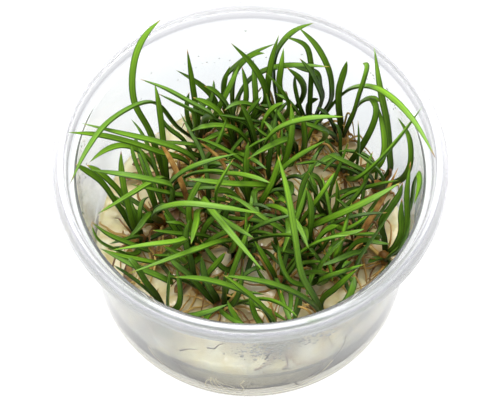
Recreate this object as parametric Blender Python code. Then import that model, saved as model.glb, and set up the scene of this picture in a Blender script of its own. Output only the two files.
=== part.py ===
"""Shoreweed from tissue culture: rosettes of awl-shaped leaves, rooted in gel in an open clear cup.

Blender 4.5, metres, +Z up. The origin is on the surface that the cup stands on, under the middle of its box.
Every size below is in millimetres until MM turns it into metres.
"""

from math import cos, pi, radians, sin

import bmesh
import bpy
import numpy as np
from mathutils import Vector, noise

MM = 0.001

# Cup
FLANGE_RADIUS = 50.0
FLANGE_LOW_Z = 52.2
FLANGE_TOP_Z = 54.0
FLANGE_LIP = 0.7
RIM_WIDTH = 3.2
RIM_FLAT = 1.3
CUP_HEIGHT = 56.0
WALL = 0.8
FOOT_RING_INNER = 40.2
FOOT_RING_OUTER = 42.3
FOOT_HOLLOW = 0.7
FOOT_ROUND_Z = 2.4
WALL_FOOT_RADIUS = 43.9
WALL_TOP_RADIUS = 44.9
WALL_TOP_Z = 49.6
LEDGE_Z = 50.6
LEDGE_WIDTH = 1.0
FLOOR_Z = 1.6
FLOOR_ROUND = 1.4
CUP_SIDES = 40
TURN_MERGE = 0.00001

# Gel
GAP = 0.3
GEL_Z = 15.6
GEL_LUMP = 1.8
GEL_LUMP_SIZE = 9.0
GEL_LUMP_SLICE = 0.3
GEL_SIDES = 26
GEL_RINGS = (0.26, 0.5, 0.72, 0.89)
GEL_WALL_GAP = 0.4
GEL_FOOT_INSET = 1.8
GEL_FOOT_Z = 3.4

# Crowns and leaves
CROWN_SIDES = 6
CROWN_LEVELS = ((-3.0, 0.8), (0.4, 1.9), (3.2, 1.3))
LEAF_START = 0.7
LEAF_START_RISE = 1.4
LEAF_START_STEP = 0.17
LEAF_WIDTH = 1.9
LEAF_FACE_DEPTH = 0.32
LEAF_KEEL_DEPTH = 0.78
DEAD_LEAF_WIDTH = 2.6
DEAD_LEAF_FACE_DEPTH = 0.2
DEAD_LEAF_KEEL_DEPTH = 0.5
LEAF_STATIONS = (0.0, 0.2, 0.42, 0.65, 0.87, 1.0)
LEAF_TAPER = (0.8, 1.0, 1.0, 1.0, 0.8, 0.0)

# Clearances that keep the leaves of different plantlets apart
LEAF_GAP = 0.25
SETTLE_ROUNDS = 240
MOST_MOVED = 3.0
FREE_FROM = 0.33
GEL_CLEARANCE = 0.6
CROWN_MIDDLE = 1.0
CROWN_KEEP_OUT = 2.3
CROWN_TOP = 3.0
OWN_CROWN_REACH = 7.0
WALL_CLEARANCE = 1.5
RIM_LEAN = 0.2
OVER_RIM_Z = 57.2
OVER_RIM_RADIUS = 46.3

# Colours, as linear red, green and blue
PLASTIC_COLOR = (0.93, 0.94, 0.95)
PLASTIC_ALPHA = 0.3
GEL_COLOR = (0.83, 0.77, 0.58)
LEAF_COLOR = (0.13, 0.32, 0.04)
DEAD_COLOR = (0.30, 0.14, 0.04)

# One entry for each plantlet: where its crown stands, then its leaves. A leaf is the heading of its tip in
# degrees, how far out the tip is, its height above the table, how much the middle of the leaf rises, how
# much it swings to the left, and how long it climbs before it leans over (1 is at once, 2 is late).
PLANTLETS = (
    ((37, -9), ((72, 8, 44, 1, 0, 1.4), (66, 11, 51, -6, -3, 2.2), (63, 8, 36, -1, -2, 2.2),
                (-28, 6, 50, 14, 9, 1.0), (-23, 7, 43, 1, -5, 1.4), (-139, 7, 22, 1, 0, 1.4),
                (-108, 13, 26, 3, 2, 1.4))),
    ((36, 13), ((107, 18, 58, -6, -6, 2.2), (-159, 9, 41, 6, 8, 2.2), (145, 14, 23, 2, -4, 1.6),
                (36, 3, 50, 7, -10, 1.4))),
    ((26, 29), ((26, 5, 52, 14, -5, 1.2), (85, 5, 49, 1, 0, 1.4), (-27, 11, 44, 5, 2, 1.8),
                (-150, 14, 36, 2, 2, 1.4))),
    ((18, 33), ((-52, 46, 58, 12, 8, 1.8), (114, 11, 55, 1, -9, 2.2), (142, 12, 52, 0, -4, 2.2),
                (130, 6, 49, 0, -4, 1.6), (126, 12, 38, 8, -7, 2.2))),
    ((8, 36), ((28, 11, 57, 4, 7, 2.2), (78, 5, 46, 0, 1, 1.6), (86, 6, 50, -4, 2, 2.0),
               (-62, 4, 48, -3, 8, 1.0), (-142, 5, 45, 4, 7, 2.0))),
    ((-5, 33), ((38, 16, 46, -1, 9, 2.2), (93, 6, 50, -2, -10, 2.0), (34, 11, 45, 5, 5, 1.0),
                (63, 6, 40, 0, -3, 1.6), (57, 11, 38, 1, -4, 1.8))),
    ((-14, 28), ((111, 8, 52, -5, 0, 1.6), (-128, 49, 58, 12, -6, 1.4), (-155, 16, 58, 13, 11, 2.2),
                 (130, 10, 42, -4, -8, 2.2), (-152, 12, 50, 8, 8, 2.2))),
    ((-23, 11), ((91, 28, 60, 10, 8, 1.0), (100, 12, 54, 3, 0, 1.4), (-129, 26, 41, 7, 4, 2.2),
                 (-163, 20, 43, 7, -5, 1.6), (-149, 22, 48, 12, 12, 2.2), (-15, 21, 47, 9, -7, 2.2))),
    ((-15, 19), ((-159, 30, 58, 5, 7, 2.2), (-154, 34, 59, 2, 0, 1.4), (138, 14, 35, -2, -4, 2.2),
                 (20, 9, 38, 2, -2, 1.4))),
    ((-30, -4), ((177, 14, 56, 2, -3, 1.2), (110, 9, 50, 1, 2, 1.6), (152, 14, 46, 4, -2, 1.0),
                 (-144, 15, 43, 1, 9, 2.0), (-143, 16, 43, 0, 7, 1.0))),
    ((-25, 2), ((-26, 32, 46, 12, -7, 2.2), (-52, 5, 34, 1, -3, 1.4), (-133, 13, 24, 4, -1, 2.2))),
    ((-25, -9), ((-150, 17, 37, 3, 7, 2.2), (-148, 17, 38, 3, 14, 2.2), (-121, 18, 50, 12, 13, 2.2),
                 (-78, 11, 44, -4, 6, 1.0))),
    ((-22, -26), ((153, 10, 40, 6, 0, 1.0), (-11, 2, 43, 1, -3, 1.4), (51, 5, 35, -1, -3, 1.8),
                  (-12, 17, 30, 3, -4, 1.4))),
    ((-4, -6), ((-142, 34, 42, 8, 5, 2.0), (-98, 9, 41, -4, -1, 1.0), (6, 3, 38, -1, -7, 1.4),
                (-161, 10, 28, 1, 9, 1.0))),
    ((-11, 5), ((-65, 35, 42, 9, -5, 2.2), (-62, 26, 44, 5, -4, 1.4), (-14, 7, 48, 3, -6, 2.0),
                (-102, 21, 36, 4, -1, 1.4))),
    ((6, 13), ((-157, 25, 38, 5, 5, 1.4), (-7, 14, 44, 3, -3, 2.2), (61, 10, 46, 3, -3, 1.4),
               (-101, 15, 26, 3, -1, 1.4))),
    ((14, 24), ((-86, 3, 42, -4, 1, 1.0), (-67, 10, 44, 0, 5, 1.0), (-135, 21, 38, 5, 1, 2.0),
                (174, 5, 34, 0, 8, 1.0))),
    ((-4, 25), ((19, 29, 42, 2, 10, 2.2), (-145, 12, 34, 4, 0, 2.0), (166, 12, 40, 2, -2, 2.0),
                (148, 10, 42, 3, -3, 1.2))),
    ((3, 21), ((161, 6, 44, 1, -1, 1.4), (27, 7, 43, 1, 4, 1.6), (-19, 23, 52, 10, -4, 2.0))),
    ((27, 19), ((54, 9, 42, 12, -5, 1.0), (32, 10, 44, 1, -10, 1.4), (-20, 18, 58, 2, -12, 1.2),
                (9, 2, 42, -1, -6, 1.4), (-144, 12, 29, 5, 0, 2.2))),
    ((12, -1), ((-2, 27, 45, 5, -5, 1.2), (-106, 16, 31, 7, -1, 2.2), (167, 5, 28, 1, 8, 1.0),
                (63, 14, 34, 3, 0, 1.4))),
    ((20, -28), ((116, 30, 57, 5, 3, 2.2), (-173, 27, 50, 6, 1, 1.6), (36, 9, 37, -4, 5, 2.2),
                 (40, 9, 32, 5, -3, 1.2))),
    ((8, -34), ((173, 27, 48, 5, -3, 1.4), (165, 15, 48, -2, -1, 2.2), (158, 15, 30, 3, 4, 1.0),
                (138, 11, 32, 2, 2, 1.8))),
    ((30, -5), ((-28, 8, 44, -1, -12, 1.8), (158, 4, 38, -1, 11, 1.4), (-125, 6, 31, 7, 6, 2.2),
                (-134, 18, 28, 3, 5, 1.6))),
    ((22, -14), ((-46, 3, 41, 3, -7, 1.8), (-105, 14, 44, -3, -7, 1.0), (-38, 10, 34, 1, -8, 2.2),
                 (170, 15, 30, 4, 9, 1.0), (53, 29, 35, -4, -2, 1.8))),
    ((-8, -24), ((-27, 2, 40, 0, 0, 1.4), (130, 7, 36, 1, 1, 1.4), (149, 15, 34, 3, 1, 1.4),
                 (29, 7, 34, 1, -4, 1.6))),
    ((8, -17), ((167, 7, 38, 1, 1, 1.4), (7, 5, 34, 1, -2, 2.2), (-170, 7, 31, 1, 4, 1.0))),
    ((22, 4), ((13, 1, 36, 1, -3, 1.4), (7, 10, 38, 2, -3, 1.0), (148, 8, 33, 0, 3, 2.2),
               (-20, 13, 30, 2, -7, 1.0))),
    ((0.5, 4.5), ((96, 9, 40, 1, 1, 1.4), (-155, 11, 36, 2, -2, 1.4), (-42, 12, 37, 1, 2, 1.6),
                  (30, 9, 41, 1, -2, 1.4))),
    ((-15, -7), ((75, 12, 38, 2, 1, 1.6), (-15, 13, 36, 2, -2, 1.4), (-98, 9, 34, 1, 1, 1.4),
                 (168, 8, 36, 1, 2, 1.4))),
    ((15, -9), ((92, 9, 39, 1, -2, 1.4), (-160, 9, 34, 1, 2, 1.4), (-10, 8, 37, 2, 1, 1.4),
                (-75, 8, 33, 1, -1, 1.4))),
    ((-14, -18), ((100, 10, 36, 1, 2, 1.6), (15, 8, 33, 1, -1, 1.4), (-150, 9, 32, 1, 1, 1.4),
                  (-60, 8, 31, 1, 2, 1.4))),
)

# Dead leaves that lie loose on the gel: where the broad end is, then heading, length and sideways bow.
DEAD_LEAVES = (
    (-36, 16, -2, 13, 1),
    (-28, -3, 49, 12, -1),
    (-17, -11, 250, 10, 1),
    (16, 9, 200, 12, 1),
    (29, 5, 255, 15, -1),
    (-7, -33, 20, 11, 1),
    (-33, -11, 278, 12, -1),
    (-24, 27, 215, 12, 1),
)
DEAD_LEAF_LIFT = 1.6


def wall_radius(z):
    """The outer radius of the cup's tapered wall."""
    share = min(max(z / WALL_TOP_Z, 0.0), 1.0)
    return WALL_FOOT_RADIUS + share * (WALL_TOP_RADIUS - WALL_FOOT_RADIUS)


def room_radius(z):
    """How far from the axis the middle of a leaf may be: inside the wall, or over the rim."""
    if z > OVER_RIM_Z:
        return OVER_RIM_RADIUS
    return wall_radius(z) - WALL - WALL_CLEARANCE + max(0.0, z - LEDGE_Z) * RIM_LEAN


def gel_height(x, y):
    """The lumpy top of the gel."""
    lump = noise.noise(Vector((x / GEL_LUMP_SIZE, y / GEL_LUMP_SIZE, GEL_LUMP_SLICE)))
    return GEL_Z + GEL_LUMP * lump


def make_material(name, color, roughness, alpha=1.0):
    material = bpy.data.materials.new(name)
    material.use_nodes = True
    shader = material.node_tree.nodes["Principled BSDF"]
    shader.inputs["Base Color"].default_value = (*color, 1.0)
    shader.inputs["Roughness"].default_value = roughness
    shader.inputs["Metallic"].default_value = 0.0
    shader.inputs["Alpha"].default_value = alpha
    return material


def add_object(name, mesh, material, smooth=False):
    mesh.materials.append(material)
    mesh.shade_smooth() if smooth else mesh.shade_flat()
    obj = bpy.data.objects.new(name, mesh)
    bpy.context.scene.collection.objects.link(obj)
    return obj


def mesh_of(name, points, faces):
    """A closed mesh from points in millimetres, with its faces turned outwards."""
    shape = bmesh.new()
    corners = [shape.verts.new(Vector(point) * MM) for point in points]
    for face in faces:
        shape.faces.new([corners[i] for i in face])
    bmesh.ops.recalc_face_normals(shape, faces=shape.faces)
    mesh = bpy.data.meshes.new(name)
    shape.to_mesh(mesh)
    shape.free()
    return mesh


def tube_faces(ring_count, sides, start_cap, end_point):
    """Faces over rings of points, closed by a cap or by one last point."""
    faces = []
    for ring in range(ring_count - 1):
        for side in range(sides):
            after = (side + 1) % sides
            faces.append((ring * sides + side, ring * sides + after,
                          (ring + 1) * sides + after, (ring + 1) * sides + side))
    if start_cap:
        faces.append(tuple(range(sides)))
    last = (ring_count - 1) * sides
    if end_point:
        faces.extend((last + side, last + (side + 1) % sides, last + sides) for side in range(sides))
    else:
        faces.append(tuple(last + side for side in range(sides)))
    return faces


def cup_profile():
    """The cup's section, from the middle of its underside out and up, over the rim and back to its floor."""
    rim_inner = FLANGE_RADIUS - RIM_WIDTH
    ledge = WALL_TOP_RADIUS + LEDGE_WIDTH
    lip_inner = FLANGE_RADIUS - FLANGE_LIP
    inside_foot = WALL_FOOT_RADIUS - WALL
    return (
        (0.0, FOOT_HOLLOW), (FOOT_RING_INNER - FOOT_HOLLOW, FOOT_HOLLOW),
        (FOOT_RING_INNER, 0.0), (FOOT_RING_OUTER, 0.0),
        (WALL_FOOT_RADIUS - GAP, FOOT_HOLLOW), (WALL_FOOT_RADIUS, FOOT_ROUND_Z),
        (WALL_TOP_RADIUS, WALL_TOP_Z), (ledge + WALL, LEDGE_Z),
        (rim_inner + GAP, FLANGE_LOW_Z + WALL), (lip_inner, FLANGE_LOW_Z + WALL),
        (lip_inner, FLANGE_LOW_Z), (FLANGE_RADIUS, FLANGE_LOW_Z),
        (FLANGE_RADIUS, FLANGE_TOP_Z), (rim_inner + RIM_FLAT, CUP_HEIGHT),
        (rim_inner, CUP_HEIGHT), (ledge, LEDGE_Z + WALL), (WALL_TOP_RADIUS - WALL, LEDGE_Z),
        (inside_foot, FLOOR_Z + FLOOR_ROUND), (inside_foot - FLOOR_ROUND, FLOOR_Z), (0.0, FLOOR_Z),
    )


def build_cup(material):
    profile = cup_profile()
    mesh = bpy.data.meshes.new("cup")
    edges = [(i, i + 1) for i in range(len(profile) - 1)]
    mesh.from_pydata([(radius * MM, 0.0, z * MM) for radius, z in profile], edges, [])
    cup = add_object("cup", mesh, material)
    turn = cup.modifiers.new("turn", "SCREW")
    turn.axis = "Z"
    turn.angle = 2.0 * pi
    turn.steps = CUP_SIDES
    turn.render_steps = CUP_SIDES
    turn.use_merge_vertices = True
    turn.merge_threshold = TURN_MERGE
    turn.use_normal_calculate = True
    turn.use_smooth_shade = True
    return cup


def build_gel(material, sockets):
    """The cake of gel: the shape of the cup's inside, with a lumpy top and a socket round each crown."""
    points = []
    inside = WALL_FOOT_RADIUS - WALL
    for radius, z in ((inside - GEL_FOOT_INSET, FLOOR_Z + GAP), (inside - GEL_WALL_GAP, GEL_FOOT_Z)):
        points.extend(ring_points(radius, z, GEL_SIDES))
    edge = wall_radius(GEL_Z) - WALL - GEL_WALL_GAP
    for share in (1.0, *reversed(GEL_RINGS)):
        for x, y, _ in ring_points(edge * share, 0.0, GEL_SIDES):
            points.append((x, y, gel_height(x, y)))
    points.append((0.0, 0.0, gel_height(0.0, 0.0)))
    faces = tube_faces(3 + len(GEL_RINGS), GEL_SIDES, True, True)
    gel = add_object("gel", mesh_of("gel", points, faces), material)
    cut = gel.modifiers.new("sockets", "BOOLEAN")
    cut.operation = "DIFFERENCE"
    cut.operand_type = "COLLECTION"
    cut.collection = sockets
    cut.solver = "EXACT"
    return gel


def ring_points(radius, z, sides, center=(0.0, 0.0)):
    turns = [2.0 * pi * (i + 0.5) / sides for i in range(sides)]
    return [(center[0] + radius * cos(turn), center[1] + radius * sin(turn), z) for turn in turns]


def crown_mesh(name, x, y, growth=0.0):
    """The short thick base of a plantlet, or with growth the room that it takes in the gel."""
    ground = gel_height(x, y)
    points = []
    for level, (z, radius) in enumerate(CROWN_LEVELS):
        drop = growth if level == 0 else 0.0
        points.extend(ring_points(radius + growth, ground + z - drop, CROWN_SIDES, (x, y)))
    return mesh_of(name, points, tube_faces(len(CROWN_LEVELS), CROWN_SIDES, True, False))


def leaf_path(crown, number, heading, reach, tip_z, lift, sweep, lean):
    """The stations along the middle of a leaf, from inside its crown to its tip."""
    turn = radians(heading)
    out = np.array((cos(turn), sin(turn), 0.0))
    left = np.array((-sin(turn), cos(turn), 0.0))
    up = np.array((0.0, 0.0, 1.0))
    ground = np.array((*crown, gel_height(*crown)))
    start = ground + out * LEAF_START + up * (LEAF_START_RISE - LEAF_START_STEP * number)
    stations = []
    for share in LEAF_STATIONS:
        hump = 4.0 * share * (1.0 - share)
        climb = (tip_z - start[2]) * share + lift * hump
        away = (reach - LEAF_START) * share ** lean
        stations.append(start + out * away + left * sweep * hump + up * climb)
    return np.array(stations)


def dead_leaf_path(x, y, heading, length, bow):
    turn = radians(heading)
    stations = []
    for share in LEAF_STATIONS:
        side = 4.0 * share * (1.0 - share) * bow
        px = x + cos(turn) * length * share - sin(turn) * side
        py = y + sin(turn) * length * share + cos(turn) * side
        stations.append((px, py, gel_height(px, py) + DEAD_LEAF_LIFT))
    return np.array(stations)


def nearest_between(a0, a1, b0, b1):
    """For pairs of segments, how far along each the two come closest."""
    along_a, along_b, apart = a1 - a0, b1 - b0, a0 - b0
    aa, bb = (along_a ** 2).sum(1), (along_b ** 2).sum(1)
    ab, ad, bd = (along_a * along_b).sum(1), (along_a * apart).sum(1), (along_b * apart).sum(1)
    square = aa * bb - ab ** 2
    s = np.clip((ab * bd - bb * ad) / np.maximum(square, 1e-9), 0.0, 1.0)
    t = np.clip((ab * s + bd) / bb, 0.0, 1.0)
    s = np.clip((ab * t - ad) / aa, 0.0, 1.0)
    return s, t


def settle(paths, owners, widths):
    """Moves the leaves aside where two would pass through each other, the wall or the gel."""
    count = len(LEAF_STATIONS)
    points = np.array(paths)
    home = points.copy()
    roots = home[:, 0]
    radii = np.array(widths)[:, None] / 2.0 * np.array(LEAF_TAPER)
    loose = np.array([owner >= len(PLANTLETS) for owner in owners])
    freedom = np.minimum(1.0, np.array(LEAF_STATIONS) / FREE_FROM)[None, :] * np.ones((len(paths), 1))
    freedom[loose] = 1.0
    leaf_of = np.repeat(np.arange(len(paths)), count - 1)
    owner_of = np.array(owners)[leaf_of]
    first, second = np.triu_indices(len(leaf_of), 1)
    other = leaf_of[first] != leaf_of[second]
    first, second = first[other], second[other]
    crowns = np.array([(x, y, gel_height(x, y) + CROWN_MIDDLE) for (x, y), _ in PLANTLETS])
    foreign = np.array(owners)[:, None] != np.arange(len(PLANTLETS))[None, :]
    for _ in range(SETTLE_ROUNDS):
        starts, ends = points[:, :-1].reshape(-1, 3), points[:, 1:].reshape(-1, 3)
        middles = (starts + ends) / 2.0
        halves = np.linalg.norm(ends - starts, axis=1) / 2.0
        close = (np.abs(middles[first] - middles[second]).max(axis=1)
                 < halves[first] + halves[second] + LEAF_WIDTH + LEAF_GAP)
        own = owner_of[first] == owner_of[second]
        reach = np.linalg.norm(middles - roots[leaf_of], axis=1)
        close &= ~(own & (np.minimum(reach[first], reach[second]) < OWN_CROWN_REACH))
        a, b = first[close], second[close]
        s, t = nearest_between(starts[a], ends[a], starts[b], ends[b])
        on_a = starts[a] + (ends[a] - starts[a]) * s[:, None]
        on_b = starts[b] + (ends[b] - starts[b]) * t[:, None]
        apart = on_a - on_b
        distance = np.maximum(np.linalg.norm(apart, axis=1), 1e-6)
        segment_a, segment_b = a % (count - 1), b % (count - 1)
        leaf_a, leaf_b = leaf_of[a], leaf_of[b]
        radius_a = radii[leaf_a, segment_a] * (1.0 - s) + radii[leaf_a, segment_a + 1] * s
        radius_b = radii[leaf_b, segment_b] * (1.0 - t) + radii[leaf_b, segment_b + 1] * t
        lack = np.maximum(0.0, radius_a + radius_b + LEAF_GAP - distance)
        push = apart / distance[:, None] * (0.5 * lack)[:, None]
        moves = np.zeros_like(points)
        np.add.at(moves, (leaf_a, segment_a), push * (1.0 - s)[:, None])
        np.add.at(moves, (leaf_a, segment_a + 1), push * s[:, None])
        np.add.at(moves, (leaf_b, segment_b), -push * (1.0 - t)[:, None])
        np.add.at(moves, (leaf_b, segment_b + 1), -push * t[:, None])
        spread = moves.copy()
        spread[:, 1:] += 0.5 * moves[:, :-1]
        spread[:, :-1] += 0.5 * moves[:, 1:]
        moved = points + spread * freedom[:, :, None] - home
        far = np.maximum(np.linalg.norm(moved, axis=2, keepdims=True), 1e-6)
        points = home + moved * np.minimum(1.0, MOST_MOVED / far)
        keep_off_crowns(points, foreign, crowns, radii, freedom)
        keep_inside(points, radii, freedom)
    return points


def keep_off_crowns(points, foreign, crowns, radii, freedom):
    """Moves the low part of each leaf off the crowns of the other plantlets."""
    away = points[:, :, None, :2] - crowns[None, None, :, :2]
    distance = np.maximum(np.linalg.norm(away, axis=3), 1e-6)
    low = points[:, :, None, 2] < crowns[None, None, :, 2] + CROWN_TOP
    lack = np.maximum(0.0, radii[:, :, None] + CROWN_KEEP_OUT - distance) * low * foreign[:, None, :]
    step = away / distance[..., None] * lack[..., None]
    points[:, :, :2] += step.sum(axis=2) * freedom[:, :, None]


def keep_inside(points, radii, freedom):
    """Brings each station back inside the wall and above the gel."""
    rooms = np.array([[room_radius(z) for z in leaf[:, 2]] for leaf in points])
    reach = np.maximum(np.linalg.norm(points[:, :, :2], axis=2), 1e-6)
    points[:, :, :2] *= np.minimum(1.0, rooms / reach)[:, :, None]
    ground = np.array([[gel_height(x, y) for x, y in leaf[:, :2]] for leaf in points])
    floor = ground + radii + GEL_CLEARANCE
    points[:, :, 2] = np.where(freedom >= 1.0, np.maximum(points[:, :, 2], floor), points[:, :, 2])


def leaf_frames(path):
    """The sideways direction and the way the face looks at each station, turned as little as possible."""
    tangents = np.gradient(path, axis=0)
    tangents /= np.linalg.norm(tangents, axis=1)[:, None]
    side = np.cross(path[-1] - path[0], (0.0, 0.0, 1.0))
    frames = []
    for tangent in tangents:
        side = side - tangent * (side @ tangent)
        side = side / np.linalg.norm(side)
        frames.append((side, np.cross(side, tangent)))
    return frames


def leaf_mesh(name, path, width, face_depth, keel_depth):
    """A tapering blade with a flat face and a keeled back, that ends in a point."""
    points = []
    frames = leaf_frames(path)
    for station, taper in enumerate(LEAF_TAPER[:-1]):
        side, face = frames[station]
        edge = face * face_depth * taper
        points.append(path[station] + side * width / 2.0 * taper + edge)
        points.append(path[station] - face * keel_depth * taper)
        points.append(path[station] - side * width / 2.0 * taper + edge)
    points.append(path[-1])
    return mesh_of(name, points, tube_faces(len(LEAF_TAPER) - 1, 3, True, True))


def hidden_collection(name):
    collection = bpy.data.collections.new(name)
    bpy.context.scene.collection.children.link(collection)
    return collection


def add_helper(name, mesh, collection):
    helper = bpy.data.objects.new(name, mesh)
    helper.hide_render = True
    helper.display_type = "WIRE"
    collection.objects.link(helper)


def build_plantlet(name, crown, paths, material):
    """One plantlet: the crown and its leaves, joined as they grow."""
    x, y = crown
    plantlet = add_object(name, crown_mesh(name, x, y), material)
    blades = hidden_collection(name + "_leaves")
    for number, path in enumerate(paths):
        blade = leaf_mesh(f"{name}_leaf_{number}", path, LEAF_WIDTH, LEAF_FACE_DEPTH, LEAF_KEEL_DEPTH)
        add_helper(f"{name}_leaf_{number}", blade, blades)
    join = plantlet.modifiers.new("leaves", "BOOLEAN")
    join.operation = "UNION"
    join.operand_type = "COLLECTION"
    join.collection = blades
    join.solver = "EXACT"
    return plantlet


def main():
    for obj in list(bpy.data.objects):
        bpy.data.objects.remove(obj, do_unlink=True)
    clear_plastic = make_material("clear_plastic", PLASTIC_COLOR, 0.12, PLASTIC_ALPHA)
    agar = make_material("agar_gel", GEL_COLOR, 0.2)
    leaf_green = make_material("leaf_green", LEAF_COLOR, 0.35)
    dead_leaf = make_material("dead_leaf", DEAD_COLOR, 0.5)

    build_cup(clear_plastic)
    sockets = hidden_collection("socket_cutters")
    for number, ((x, y), _) in enumerate(PLANTLETS):
        add_helper(f"socket_{number}", crown_mesh(f"socket_{number}", x, y, GAP), sockets)
    build_gel(agar, sockets)

    paths, owners, widths = [], [], []
    for owner, (crown, leaves) in enumerate(PLANTLETS):
        for number, leaf in enumerate(leaves):
            paths.append(leaf_path(crown, number, *leaf))
            owners.append(owner)
            widths.append(LEAF_WIDTH)
    for number, row in enumerate(DEAD_LEAVES):
        paths.append(dead_leaf_path(*row))
        owners.append(len(PLANTLETS) + number)
        widths.append(DEAD_LEAF_WIDTH)
    settled = settle(paths, owners, widths)

    for owner, (crown, _) in enumerate(PLANTLETS):
        own = [path for path, leaf_owner in zip(settled, owners) if leaf_owner == owner]
        build_plantlet(f"plantlet_{owner + 1:02d}", crown, own, leaf_green)
    for number, path in enumerate(settled[-len(DEAD_LEAVES):]):
        name = f"dead_leaf_{number + 1:02d}"
        mesh = leaf_mesh(name, path, DEAD_LEAF_WIDTH, DEAD_LEAF_FACE_DEPTH, DEAD_LEAF_KEEL_DEPTH)
        add_object(name, mesh, dead_leaf)


main()
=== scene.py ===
"""The looks of shoreweed from tissue culture: fine leaves, wet gel and clear plastic.

Blender 4.5. Sizes are in millimetres until MM turns them into metres. The table of plantlets and the
clearances are those of the part's own script, so that each fine leaf lies where its solid does.
"""

from math import cos, pi, radians, sin

import bpy
import numpy as np
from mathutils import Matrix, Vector, noise

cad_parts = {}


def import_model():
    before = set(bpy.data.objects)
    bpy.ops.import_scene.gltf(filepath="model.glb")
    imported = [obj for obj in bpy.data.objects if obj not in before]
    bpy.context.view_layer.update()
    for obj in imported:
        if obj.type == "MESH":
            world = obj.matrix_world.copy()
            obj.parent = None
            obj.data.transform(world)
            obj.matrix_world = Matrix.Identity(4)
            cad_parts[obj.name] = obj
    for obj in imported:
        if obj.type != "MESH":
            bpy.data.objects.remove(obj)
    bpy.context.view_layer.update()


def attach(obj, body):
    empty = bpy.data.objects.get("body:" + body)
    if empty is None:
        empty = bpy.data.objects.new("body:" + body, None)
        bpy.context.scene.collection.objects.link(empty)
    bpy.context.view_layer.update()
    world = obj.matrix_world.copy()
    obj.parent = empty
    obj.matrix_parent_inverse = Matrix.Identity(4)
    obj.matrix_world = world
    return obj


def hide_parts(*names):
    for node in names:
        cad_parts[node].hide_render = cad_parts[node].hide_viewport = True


MM = 0.001
TINY = 1e-6
TINY_SQUARE = 1e-9
UP = np.array((0.0, 0.0, 1.0))
BODY = "root"

# Cup
FLANGE_RADIUS = 50.0
FLANGE_LOW_Z = 52.2
FLANGE_TOP_Z = 54.0
FLANGE_LIP = 0.7
RIM_WIDTH = 3.2
RIM_FLAT = 1.3
CUP_HEIGHT = 56.0
WALL = 0.8
FOOT_RING_INNER = 40.2
FOOT_RING_OUTER = 42.3
FOOT_HOLLOW = 0.7
FOOT_ROUND_Z = 2.4
WALL_FOOT_RADIUS = 43.9
WALL_TOP_RADIUS = 44.9
WALL_TOP_Z = 49.6
LEDGE_Z = 50.6
LEDGE_WIDTH = 1.0
FLOOR_Z = 1.6
FLOOR_ROUND = 1.4
CUP_SIDES = 160
RIM_FROM_Z = 51.0
CORNER_RADIUS = 0.35
CORNER_STEPS = 4
CORNER_SHARE = 0.4

# Gel
GAP = 0.3
GEL_Z = 15.6
GEL_LUMP = 1.8
GEL_LUMP_SIZE = 9.0
GEL_LUMP_SLICE = 0.3
GEL_SIDES = 180
GEL_RING_STEP = 1.0
GEL_SLACK = 0.1
GEL_FOOT_INSET = 1.8
GEL_FOOT_STEP = 1.0
GEL_FOOT_STEP_Z = 2.3
GEL_SIDE_INSET = 0.4
GEL_SIDE_LOW_Z = 3.4
GEL_SIDE_FROM_Z = 4.0
GEL_EDGE_DROP = 1.6
GEL_TOP_DEPTH = 0.5
GEL_SIDE_DEPTH = 1.0

# Crowns and leaves
CROWN_SIDES = 12
CROWN_LOBES = 3.0
CROWN_LOBE = 0.12
CROWN_ROUGH = 0.06
CROWN_LEVELS = ((-2.6, 0.5), (-1.2, 1.5), (0.2, 1.9), (1.4, 1.85), (2.6, 1.5), (3.4, 1.15))
LEAF_START = 0.7
LEAF_START_RISE = 1.4
LEAF_START_STEP = 0.17
LEAF_WIDTH = 1.9
DEAD_LEAF_WIDTH = 2.6
LEAF_STATIONS = (0.0, 0.2, 0.42, 0.65, 0.87, 1.0)
LEAF_TAPER = (0.8, 1.0, 1.0, 1.0, 0.8, 0.0)
LEAF_RINGS = 32
TIP_FROM = (0.66, 0.8)
TIP_CURVE = 2.2
LEAF_SIDES = 12
GROOVE_POWER = 1.5
LEAF_SECTION = (0.3, 0.34, 0.72)
DEAD_SECTION = (0.2, 0.3, 0.35)
LEAF_ROLL = (-0.35, 0.35)
DEAD_ROLL = (-0.3, 0.3)
LEAF_WIDTHS = (0.88, 1.0)
INNER_WIDTHS = (0.5, 0.9)

# Clearances that keep the leaves apart
LEAF_GAP = 0.25
SETTLE_ROUNDS = 240
MOST_MOVED = 3.0
INNER_SETTLE_ROUNDS = 30
FREE_FROM = 0.33
GEL_CLEARANCE = 0.6
CROWN_MIDDLE = 1.0
CROWN_KEEP_OUT = 2.3
CROWN_TOP = 3.0
OWN_CROWN_REACH = 7.0
WALL_CLEARANCE = 1.5
RIM_LEAN = 0.2
OVER_RIM_Z = 57.2
OVER_RIM_RADIUS = 46.3

# Inner leaves: the young and hidden leaves of each plantlet, within the spread of those in the table
INNER_LEAVES_MOST = 10.0
INNER_LEAVES_FALL = 6.0
INNER_TRIES = 24
INNER_REACH = (7.0, 28.0)
INNER_TIP_Z = (21.0, 43.0)
INNER_RADIUS = 40.0
LEAST_GAP = -1.2
GOLDEN_TURN = 137.5
OLD_SHARE = 0.08
INNER_LEAST_REACH = 3.0
INNER_LIFT = (0.0, 6.0)
INNER_SWEEP = (-3.0, 3.0)
INNER_LEAN = (1.0, 1.7)
# Where the gel lies open to the front: the middle of each patch and its radius
OPEN_GEL = ((-26, -12, 5), (-17, -20, 5), (-39, 2, 5), (-37, 22, 6), (35, -10, 5), (39, 3, 4))
OPEN_VIEW = 0.58
# Dead leaves that still stand on their plantlets: the number of the plantlet and of its leaf, both from 0
STANDING_DEAD = ((24, 4),)

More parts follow.
